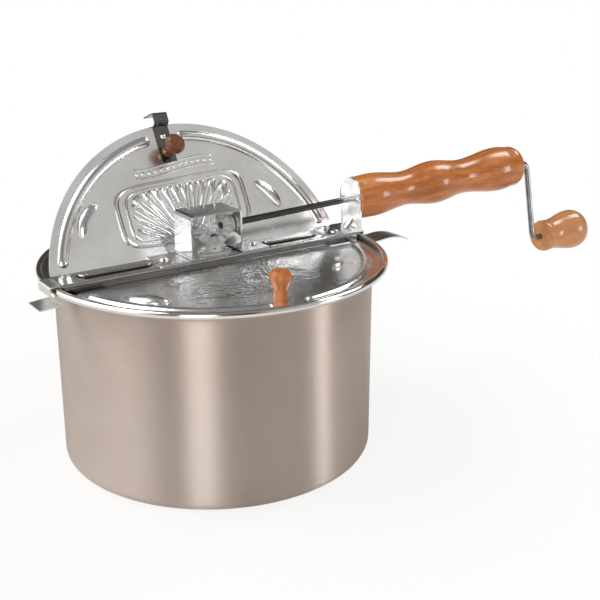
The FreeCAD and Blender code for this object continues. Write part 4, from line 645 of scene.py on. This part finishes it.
class POPPER_OT_pot(bpy.types.Operator):
    """Turns the pot, with its ledge and rolled rim, in spun aluminium"""

    bl_idname = "popper.make_pot"
    bl_label = "Pot"

    def execute(self, context):
        sizes = context.scene.popper_sizes
        wall = sizes.wall_radius
        inside = wall - POT_SHEET
        middle = sizes.rim_radius - RIM_ROLL
        level = sizes.rim_top - RIM_ROLL
        edge = sizes.rim_radius - 2 * RIM_ROLL
        under = LEDGE_LEVEL - POT_SHEET
        turn = np.linspace(-math.pi / 2, math.pi, 28)
        rim = np.stack([middle + RIM_ROLL * np.cos(turn), level + RIM_ROLL * np.sin(turn)], axis=1)
        outer = rounded_profile([(0.0, 0.0), (wall - FOOT_INSET, 0.0), (wall, 0.0, FOOT_BEND),
                                 (wall, under, LEDGE_BEND - POT_SHEET),
                                 (edge - POT_SHEET, under)], 12)
        inner = rounded_profile([(edge, LEDGE_LEVEL), (inside, LEDGE_LEVEL, LEDGE_BEND),
                                 (inside, POT_FLOOR, FOOT_BEND - POT_SHEET),
                                 (inside - FOOT_INSET, POT_FLOOR), (0.0, POT_FLOOR)], 12)
        profile = densified(np.concatenate([outer, rim, inner]), 9.0)
        points, faces = lathe(profile, sizes.segments)
        piece = new_piece("pot_body", points, faces, pot_finish(context.scene.popper_look),
                          "pot_and_bar")
        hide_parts("pot")
        return {"FINISHED"}


def densified(profile, longest):
    """Adds points along a profile's long straight runs, evenly spaced."""
    steps = np.linalg.norm(np.diff(profile, axis=0), axis=1)
    counts = np.maximum(1, np.ceil(steps / longest).astype(int))
    parts = [profile[i] + (profile[i + 1] - profile[i]) * (np.arange(n) / n)[:, None]
             for i, n in enumerate(counts)]
    return np.concatenate(parts + [profile[-1:]])


class POPPER_OT_handle(bpy.types.Operator):
    """Turns the wooden handle round the rod's line"""

    bl_idname = "popper.make_handle"
    bl_label = "Handle"

    def execute(self, context):
        sizes = context.scene.popper_sizes
        look = context.scene.popper_look
        long = sizes.handle_length
        waves = level_run([(long * share, radius) for share, radius in HANDLE_WAVES])
        outer = np.stack([waves[:, 1], waves[:, 0]], axis=1)
        nose = rounded_profile([(16.7, long * 0.974), (15.6, long * 0.99, 2.4), (13.4, long, 0.6),
                                (HANDLE_BORE, long)], 6)[1:]
        start = rounded_profile([(HANDLE_BORE, 0.0), (15.9, 0.0, 0.5), (16.4, long * 0.02)], 6)
        profile = densified(np.concatenate([start, outer[1:], nose]), 4.0)
        points, faces = lathe(profile, 96)
        piece = new_piece("handle_wood", placed(points, rod_frame(sizes.handle_start)), faces,
                          wood_finish("handle_wood_grain", look, (0.0, -math.pi / 2, 0.0),
                                      (0.0, 0.0, float(APEX[2] + 6.0) * MM)), "pot_and_bar")
        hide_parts("handle_grip")
        return {"FINISHED"}


class POPPER_OT_crank_knob(bpy.types.Operator):
    """Turns the wooden knob on the crank's pin"""

    bl_idname = "popper.make_crank_knob"
    bl_label = "Crank knob"

    def execute(self, context):
        sizes = context.scene.popper_sizes
        look = context.scene.popper_look
        long = sizes.knob_length
        waves = level_run([(long * share, radius) for share, radius in KNOB_WAVES], 18)
        side = np.stack([waves[:, 1], waves[:, 0]], axis=1)
        widest, radius = KNOB_WAVES[-1]
        t = np.linspace(0.0, math.pi / 2, 26)[1:]
        dome = np.stack([radius * np.cos(t) ** 0.8,
                         long * widest + long * (1.0 - widest) * np.sin(t)], axis=1)
        dome[-1] = (0.0, long)
        start = rounded_profile([(KNOB_BORE, KNOB_BORE_DEPTH), (KNOB_BORE, 0.0),
                                 (12.6, 0.0, 0.5), (13.5, long * 0.05)], 6)
        profile = np.concatenate([[(0.0, KNOB_BORE_DEPTH)], start[:-1], side, dome])
        points, faces = lathe(profile, 96)
        place = rod_frame(sizes.knob_start, sizes.arm_turn, sizes.arm_length)
        piece = new_piece("crank_knob_wood", placed(points, place), faces,
                          wood_finish("crank_knob_grain", look, (0.0, -math.pi / 2, 0.0),
                                      (KNOB_PLACE * MM).tolist(), (0.45, look.wood_pale)),
                          "crank_handle")
        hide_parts("crank_knob")
        return {"FINISHED"}


class POPPER_OT_lid_knobs(bpy.types.Operator):
    """Turns the two small wooden knobs of the lids"""

    bl_idname = "popper.make_lid_knobs"
    bl_label = "Lid knobs"

    def execute(self, context):
        sizes = context.scene.popper_sizes
        look = context.scene.popper_look
        high = sizes.lid_knob_height
        corners = [(0.0, 13.0), (1.5, 13.0), (1.5, 0.0), (4.9, 0.0, 0.3), (4.7, 1.6, 0.6),
                   (4.7, 6.4, 3.8), (7.3, 12.4, 3.8), (7.6, 15.2, 1.5), (5.4, high, 0.5),
                   (0.0, high)]
        profile = rounded_profile(corners, 9)
        for front, name in ((True, "front"), (False, "back")):
            seat = LID_TOP if front else LID_TOP + CATCH_SHEET
            aside = sizes.lid_shift if front else -sizes.lid_shift
            spot = Matrix.Translation((aside, sizes.lid_knob_offset, seat))
            points, faces = lathe(profile, 72)
            points = placed(points, lid_frame(front) @ spot)
            opening = 0.0 if front else LID_OPEN
            # the back knob's darker colour is partly end grain and partly painted shade
            finish = wood_finish(name + "_knob_grain", look, (-opening, 0.0, 0.0),
                                 (points.mean(axis=0) * MM).tolist(),
                                 None if front else (0.8, look.wood_end_grain_and_shade))
            piece = new_piece(name + "_knob_wood", points, faces, finish,
                              name + "_cover")
            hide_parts(name + "_knob")
        return {"FINISHED"}


def ridge(away, wide):
    """1 on a line and 0 beyond wide from it: cos squared of the distance."""
    return np.cos(np.clip(np.abs(away) / wide, 0.0, 1.0) * math.pi / 2) ** 2


def relief_shell(x, y, height, depth):
    """A closed shell over a grid of (x, y): its top stands at height, and its
    flat underside at -depth is one face joined to the top's border."""
    rows, columns = x.shape
    top = np.stack([x, y, height], axis=-1).reshape(-1, 3)
    index = np.arange(rows * columns).reshape(rows, columns)
    border = np.concatenate([index[0, :-1], index[:-1, -1], index[-1, :0:-1], index[:0:-1, 0]])
    under = top[border].copy()
    under[:, 2] = -depth
    lower = np.arange(len(border)) + len(top)
    faces = grid_faces(rows, columns, False, False).tolist()
    faces += np.stack([border, lower, np.roll(lower, -1), np.roll(border, -1)], axis=1).tolist()
    faces.append(lower.tolist())
    return np.vstack([top, under]), faces


def patch_grid(left, right, near, far, step):
    """A flat patch of a lid's own frame: Y runs away from the hinge."""
    return np.meshgrid(np.arange(left, right, step), np.arange(near, far, step), indexing="ij")


def fan_relief(x, y):
    """The back lid's ornament, from 0 to 1: a fan of outlined petals, each
    where ((a - a0) / A)^2 + (b / B)^2 = 1 along and across its ray, inside a
    double frame where |x / A|^5 + |y / B|^5 = 1, under a waved band of beads."""
    frame_half = np.array([52.0, 23.0])
    centre = np.array([-5.0, 54.0])
    u = (x - centre[0]) / frame_half[0]
    v = (y - centre[1] - 0.05 * (x - centre[0])) / frame_half[1]
    edge = (np.abs(u) ** 5 + np.abs(v) ** 5) ** 0.2
    out = (edge - 1.0) * frame_half[1]
    height = ridge(out, 1.3) + 0.7 * ridge(out + 3.2, 0.8)
    inside = np.clip((-out - 4.6) / 1.2, 0.0, 1.0)
    foot = centre + np.array([0.0, -30.0])
    reach = np.hypot(x - foot[0], y - foot[1])
    heading = np.arctan2(y - foot[1], x - foot[0])
    petals = np.zeros_like(x)
    for turn in np.radians(np.linspace(20.0, 160.0, 15)):
        a = reach * np.cos(heading - turn)
        b = reach * np.sin(heading - turn)
        spread = 3.1 + 1.7 * abs(math.cos(turn))
        far = 50.0 + 12.0 * abs(math.cos(turn))
        middle = (far + 14.0) / 2
        half = (far - 14.0) / 2
        around = np.sqrt(((a - middle) / half) ** 2 + (b / (spread * (0.45 + a / far / 1.4))) ** 2)
        petals = np.maximum(petals, ridge((around - 1.0) * spread, 1.15))
        petals = np.maximum(petals, 0.55 * ridge(b, 0.8) * (np.abs(a - middle) < half * 0.7))
    height = np.maximum(height, petals * inside)
    band = y - 86.0 - 2.6 * np.sin((x + 6.0) / 15.0)
    shown = np.clip((33.0 - np.abs(x + 4.0)) / 1.5, 0.0, 1.0)
    height = np.maximum(height, 0.8 * shown * (ridge(band - 3.4, 0.9) + ridge(band + 3.4, 0.9)))
    across = (x + 4.0 + 2.6) % 5.2 - 2.6
    bead = np.hypot(across, band)
    return np.maximum(height, shown * ridge(bead, 1.8))


def crinkle_relief(x, y, seed):
    """The front lid's pressed crinkle, from 0 to 1: 1 - |n| where n is a sum
    of sines whose waves are 3.6 to 7 mm long, half as long again along the
    hinge, and run every way."""
    rng = np.random.default_rng(seed)
    total = np.zeros_like(x)
    for wave in rng.uniform(3.6, 7.0, 48):
        turn, phase = rng.uniform(0.0, 2 * math.pi, 2)
        run = x / 1.5 * math.cos(turn) + y * math.sin(turn)
        total += np.sin(run * 2 * math.pi / wave + phase)
    total /= np.sqrt((total ** 2).mean())
    return np.clip(1.0 - np.abs(total), 0.0, 1.0) ** 1.3


class POPPER_OT_lid_relief(bpy.types.Operator):
    """Presses the fan ornament and the crinkle into the two lids"""

    bl_idname = "popper.press_lids"
    bl_label = "Lid ornament"

    def execute(self, context):
        sizes = context.scene.popper_sizes
        look = context.scene.popper_look
        x, y = patch_grid(*FAN_PATCH)
        fan = fan_relief(x, y)
        height = np.where(fan > 0.001, fan * sizes.ornament_height, 0.0) - PRESS_SUNK * (1.0 - fan)
        self.press("back", x, y, height, look)
        x, y = patch_grid(*CRINKLE_PATCH)
        oval = np.hypot((x - sizes.lid_shift) / 72.0, (y - 48.0) / 41.0)
        knob = np.hypot(x - sizes.lid_shift, y - sizes.lid_knob_offset)
        vents = np.hypot((np.abs(x - sizes.lid_shift) - 66.0) / 17.0, (y - 52.0) / 22.0)
        inside = np.clip((1.0 - oval) / 0.3, 0.0, 1.0) * np.clip((knob - 11.0) / 6.0, 0.0, 1.0)
        inside = inside * np.clip((vents - 1.0) / 0.3, 0.0, 1.0)
        height = crinkle_relief(x, y, CRINKLE_SEED) * sizes.crinkle_height * inside ** 0.6
        height = height + 0.02 * inside - PRESS_SUNK * (1.0 - inside) ** 6
        self.press("front", x, y, height, look)
        return {"FINISHED"}

    @staticmethod
    def press(side, x, y, height, look):
        """Makes one lid's pressed patch, which rides with that lid."""
        front = side == "front"
        points, faces = relief_shell(x, y, height, PRESS_DEPTH)
        points[:, 2] += LID_TOP
        finish = lid_finish(look, side + "_ornament_sheet", *lid_grain(front))
        name = "front_lid_crinkle" if front else "back_lid_ornament"
        piece = new_piece(name, placed(points, lid_frame(front)), faces, finish,
                          side + "_cover", 80.0)


def lid_grain(front):
    """Where a lid's grain is centred and how it is turned."""
    if front:
        return (0.0, 0.0, float(HINGE_FRONT[2]) * MM), (0.0, 0.0, math.pi)
    return (HINGE_BACK * MM).tolist(), (-LID_OPEN, 0.0, 0.0)


class POPPER_OT_metal(bpy.types.Operator):
    """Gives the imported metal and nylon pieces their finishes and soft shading"""

    bl_idname = "popper.dress_metal"
    bl_label = "Metal and nylon"

    def execute(self, context):
        look = context.scene.popper_look
        # the crossbar, the gear bracket's top and the wires get painted shade from their rules
        bar = sheet_finish("crossbar_steel", (0.66, 0.65, 0.64), (0.50, 0.49, 0.48),
                           roughness=0.16, grain=0.14, painted_shade=bar_painted_shade)
        bracket = sheet_finish("bracket_steel", (0.80, 0.80, 0.80), (0.72, 0.72, 0.72),
                               roughness=0.15, grain=0.05, run=ACROSS_X, spread=0.05,
                               painted_shade=bracket_painted_shade)
        clip = sheet_finish("clip_steel", (0.78, 0.77, 0.75), (0.66, 0.65, 0.63),
                            roughness=0.36, grain=0.16, run=(12.0, 900.0, 12.0), spread=0.10)
        wire = sheet_finish("drawn_wire", (0.32, 0.315, 0.31), (0.23, 0.225, 0.22),
                            roughness=0.14, grain=0.08, run=(14.0, 700.0, 700.0), spread=0.06,
                            painted_shade=wire_painted_shade)
        rivet = sheet_finish("rivet_metal", (0.84, 0.84, 0.84), (0.74, 0.74, 0.74),
                             roughness=0.20, grain=0.12, run=(400.0, 400.0, 400.0), spread=0.10)
        screw = sheet_finish("screw_steel", (0.55, 0.55, 0.56), (0.44, 0.44, 0.45),
                             roughness=0.22, grain=0.12, run=(500.0, 500.0, 500.0), spread=0.10)
        catch = sheet_finish("catch_steel", (0.16, 0.15, 0.14), (0.10, 0.095, 0.09),
                             roughness=0.10, grain=0.06)
        nylon = nylon_finish(look)
        by_slot = {
            "bar_steel": bar, "bracket_steel": bracket, "clip_steel": clip, "wire_steel": wire,
            "rivet_metal": rivet, "screw_steel": screw, "gear_nylon": nylon,
            "bushing_nylon": nylon,
        }
        plate = sheet_finish("handle_plate_steel", (0.86, 0.86, 0.86), (0.78, 0.78, 0.78),
                             roughness=0.26, grain=0.05, run=ACROSS_X, spread=0.05)
        own = {"back_catch": catch, "handle_bracket": plate,
               "front_lid": lid_finish(look, "front_lid_sheet", *lid_grain(True)),
               "back_lid": lid_finish(look, "back_lid_sheet", *lid_grain(False))}
        slots = {row["node"]: row["material_slot"] for row in frame["record"]["subparts"]}
        for name, node in frame["nodes"].items():
            finish = own.get(name, by_slot.get(slots[name]))
            if finish is None:
                continue
            node.data.materials.clear()
            node.data.materials.append(finish)
            soften(node)
        return {"FINISHED"}


def soften(node):
    """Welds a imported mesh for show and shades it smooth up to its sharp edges."""
    node.data.polygons.foreach_set("use_smooth", np.ones(len(node.data.polygons), bool))
    weld = node.modifiers.new("weld", "WELD")
    weld.merge_threshold = 0.000002
    split = node.modifiers.new("split", "EDGE_SPLIT")
    split.split_angle = math.radians(28.0)


class POPPER_OT_stage(bpy.types.Operator):
    """Builds the pale floor, the soft lights, the world and the camera"""

    bl_idname = "popper.make_stage"
    bl_label = "Stage"

    def execute(self, context):
        scene = context.scene
        stage = scene.popper_stage
        scene.view_settings.view_transform = "Standard"
        floor = bpy.data.objects.new("floor", floor_mesh())
        floor.data.materials.append(floor_finish())
        scene.collection.objects.link(floor)
        for name, heading, level, reach, wide, high, power in LAMPS:
            place = studio_place(heading, level, reach) + np.array(LAMP_TARGET)
            add_light(name, place.tolist(), LAMP_TARGET, wide, high, power)
        scene.world = studio_world()
        camera = bpy.data.cameras.new("camera")
        camera.lens = stage.lens
        camera.sensor_width = 36.0
        eye = bpy.data.objects.new("camera", camera)
        eye.rotation_euler = (math.pi / 2 - stage.elevation, 0.0, stage.azimuth)
        eye.location = (stage.camera_x, stage.camera_y, stage.camera_z)
        scene.collection.objects.link(eye)
        scene.camera = eye
        return {"FINISHED"}


def floor_mesh():
    """A flat round floor, a fan of points at one level."""
    angle = np.linspace(0.0, 2 * math.pi, FLOOR_STEPS, endpoint=False)
    ring = np.stack([np.cos(angle) * FLOOR_RADIUS, np.sin(angle) * FLOOR_RADIUS,
                     np.zeros(FLOOR_STEPS)], axis=1)
    mesh = bpy.data.meshes.new("floor")
    mesh.from_pydata(ring.tolist(), [], [list(range(FLOOR_STEPS))])
    return mesh


def floor_finish():
    """A matt pale floor: white to the camera and in metal, but for the
    object's soft shadow near it."""
    made = Finish("pale_floor", Roughness=0.9)
    grain = made.noise(made.place(), 40.0, 2.0)
    made.feed(Base_Color=made.mix(grain, *map(colour, FLOOR_TINTS)))
    x, y = made.parts(made.place())[:2]
    away = (x * x + y * y).root()
    camera_ray = made.node("ShaderNodeLightPath", {}, {}, "Is Camera Ray")
    shine_ray = made.seen_plainly() - camera_ray
    shown = camera_ray * (away.step(0.10, 0.45) * 0.15 + 0.85)
    shown = shown + shine_ray * (away.step(0.30, 1.20) * 0.9 + 0.1)
    white = made.node("ShaderNodeEmission", {}, {"Color": WHITE, "Strength": 1.0},
                      "Emission")
    plain = Value(made, made.shader.outputs["BSDF"])
    mixed = made.node("ShaderNodeMixShader", {}, {0: shown, 1: plain, 2: white}, "Shader")
    made.tree.links.new(mixed.socket, made.tree.nodes["Material Output"].inputs["Surface"])
    return made.material


def studio_world():
    """White to the camera. To the object it is a studio: pale at the horizon,
    white there in metal, with darker and brighter walls and a grey ceiling."""
    world = bpy.data.worlds.new("studio")
    world.use_nodes = True
    studio = Shading(world.node_tree)
    direction = studio.node("ShaderNodeTexCoord", {}, {}, "Generated")
    x, y, z = studio.parts(direction)
    flat = (x * x + y * y + 0.0001).root()

    def toward(heading, half, soft):
        """1 within half degrees of a heading, falling to 0 over soft degrees."""
        turn = math.radians(heading)
        near = (x * math.cos(turn) + y * math.sin(turn)) / flat
        return near.step(math.cos(math.radians(half + soft)), math.cos(math.radians(half)))

    def painted(before, shade, *span):
        """Another wall, over what is there already."""
        return studio.mix(toward(*span), before, colour(shade))

    walls = colour(PLAIN_WALL)
    for wall in WALLS:
        walls = painted(walls, *wall)
    high = painted(walls, *HIGH_WALL)
    walls = studio.mix(z.step(0.24, 0.38), walls, high)
    ceiling = studio.mix(z.step(0.70, 0.82), walls, colour(CEILING))
    horizon = studio.mix(studio.seen_plainly(), colour(HORIZON), WHITE)
    shown = studio.mix(z.step(0.0, 0.06), horizon, ceiling)
    room = studio.node("ShaderNodeBackground", {}, {"Color": shown, "Strength": 1.0},
                       "Background")
    white = studio.node("ShaderNodeBackground", {}, {"Color": WHITE}, "Background")
    camera_ray = studio.node("ShaderNodeLightPath", {}, {}, "Is Camera Ray")
    mixed = studio.node("ShaderNodeMixShader", {}, {0: camera_ray, 1: room, 2: white}, "Shader")
    studio.tree.links.new(mixed.socket, studio.tree.nodes["World Output"].inputs["Surface"])
    return world


def studio_place(heading, level, reach):
    """A point at a heading and level, in degrees, and a distance in metres."""
    turn, rise = math.radians(heading), math.radians(level)
    return reach * np.array([math.cos(turn) * math.cos(rise), math.sin(turn) * math.cos(rise),
                             math.sin(rise)])


def add_light(name, place, target, wide, high, power):
    """A soft rectangular lamp that looks at a point."""
    lamp = bpy.data.lights.new(name, "AREA")
    lamp.shape = "RECTANGLE"
    lamp.size = wide
    lamp.size_y = high
    lamp.energy = power
    lamp.color = LAMP_COLOUR
    made = bpy.data.objects.new(name, lamp)
    made.location = place
    look = Vector(target) - Vector(place)
    made.rotation_euler = look.to_track_quat("-Z", "Y").to_euler()
    made.visible_camera = False
    bpy.context.scene.collection.objects.link(made)


STEPS = (
    POPPER_OT_stage,
    POPPER_OT_pot,
    POPPER_OT_handle,
    POPPER_OT_crank_knob,
    POPPER_OT_lid_knobs,
    POPPER_OT_lid_relief,
    POPPER_OT_metal,
)


class POPPER_PT_panel(bpy.types.Panel):
    """The popper's pieces, finishes and stage"""

    bl_idname = "POPPER_PT_panel"
    bl_label = "Popcorn Popper"
    bl_space_type = "VIEW_3D"
    bl_region_type = "UI"
    bl_category = "Popper"

    def draw(self, context):
        for group in (context.scene.popper_sizes, context.scene.popper_look,
                      context.scene.popper_stage):
            box = self.layout.box()
            for name in group.__annotations__:
                box.prop(group, name)
        for step in STEPS:
            self.layout.operator(step.bl_idname)


GROUPS = (("popper_sizes", PopperSizes), ("popper_look", PopperLook),
          ("popper_stage", PopperStage))


def register():
    for name, group in GROUPS:
        bpy.utils.register_class(group)
        setattr(bpy.types.Scene, name, bpy.props.PointerProperty(type=group))
    for step in STEPS:
        bpy.utils.register_class(step)
    bpy.utils.register_class(POPPER_PT_panel)


def unregister():
    bpy.utils.unregister_class(POPPER_PT_panel)
    for step in reversed(STEPS):
        bpy.utils.unregister_class(step)
    for name, group in reversed(GROUPS):
        delattr(bpy.types.Scene, name)
        bpy.utils.unregister_class(group)


def main():
    register()
    for step in STEPS:
        family, name = step.bl_idname.split(".")
        result = getattr(getattr(bpy.ops, family), name)()
        if result != {"FINISHED"}:
            raise RuntimeError("%s did not finish" % step.bl_label)


if __name__ == "__main__":
    main()
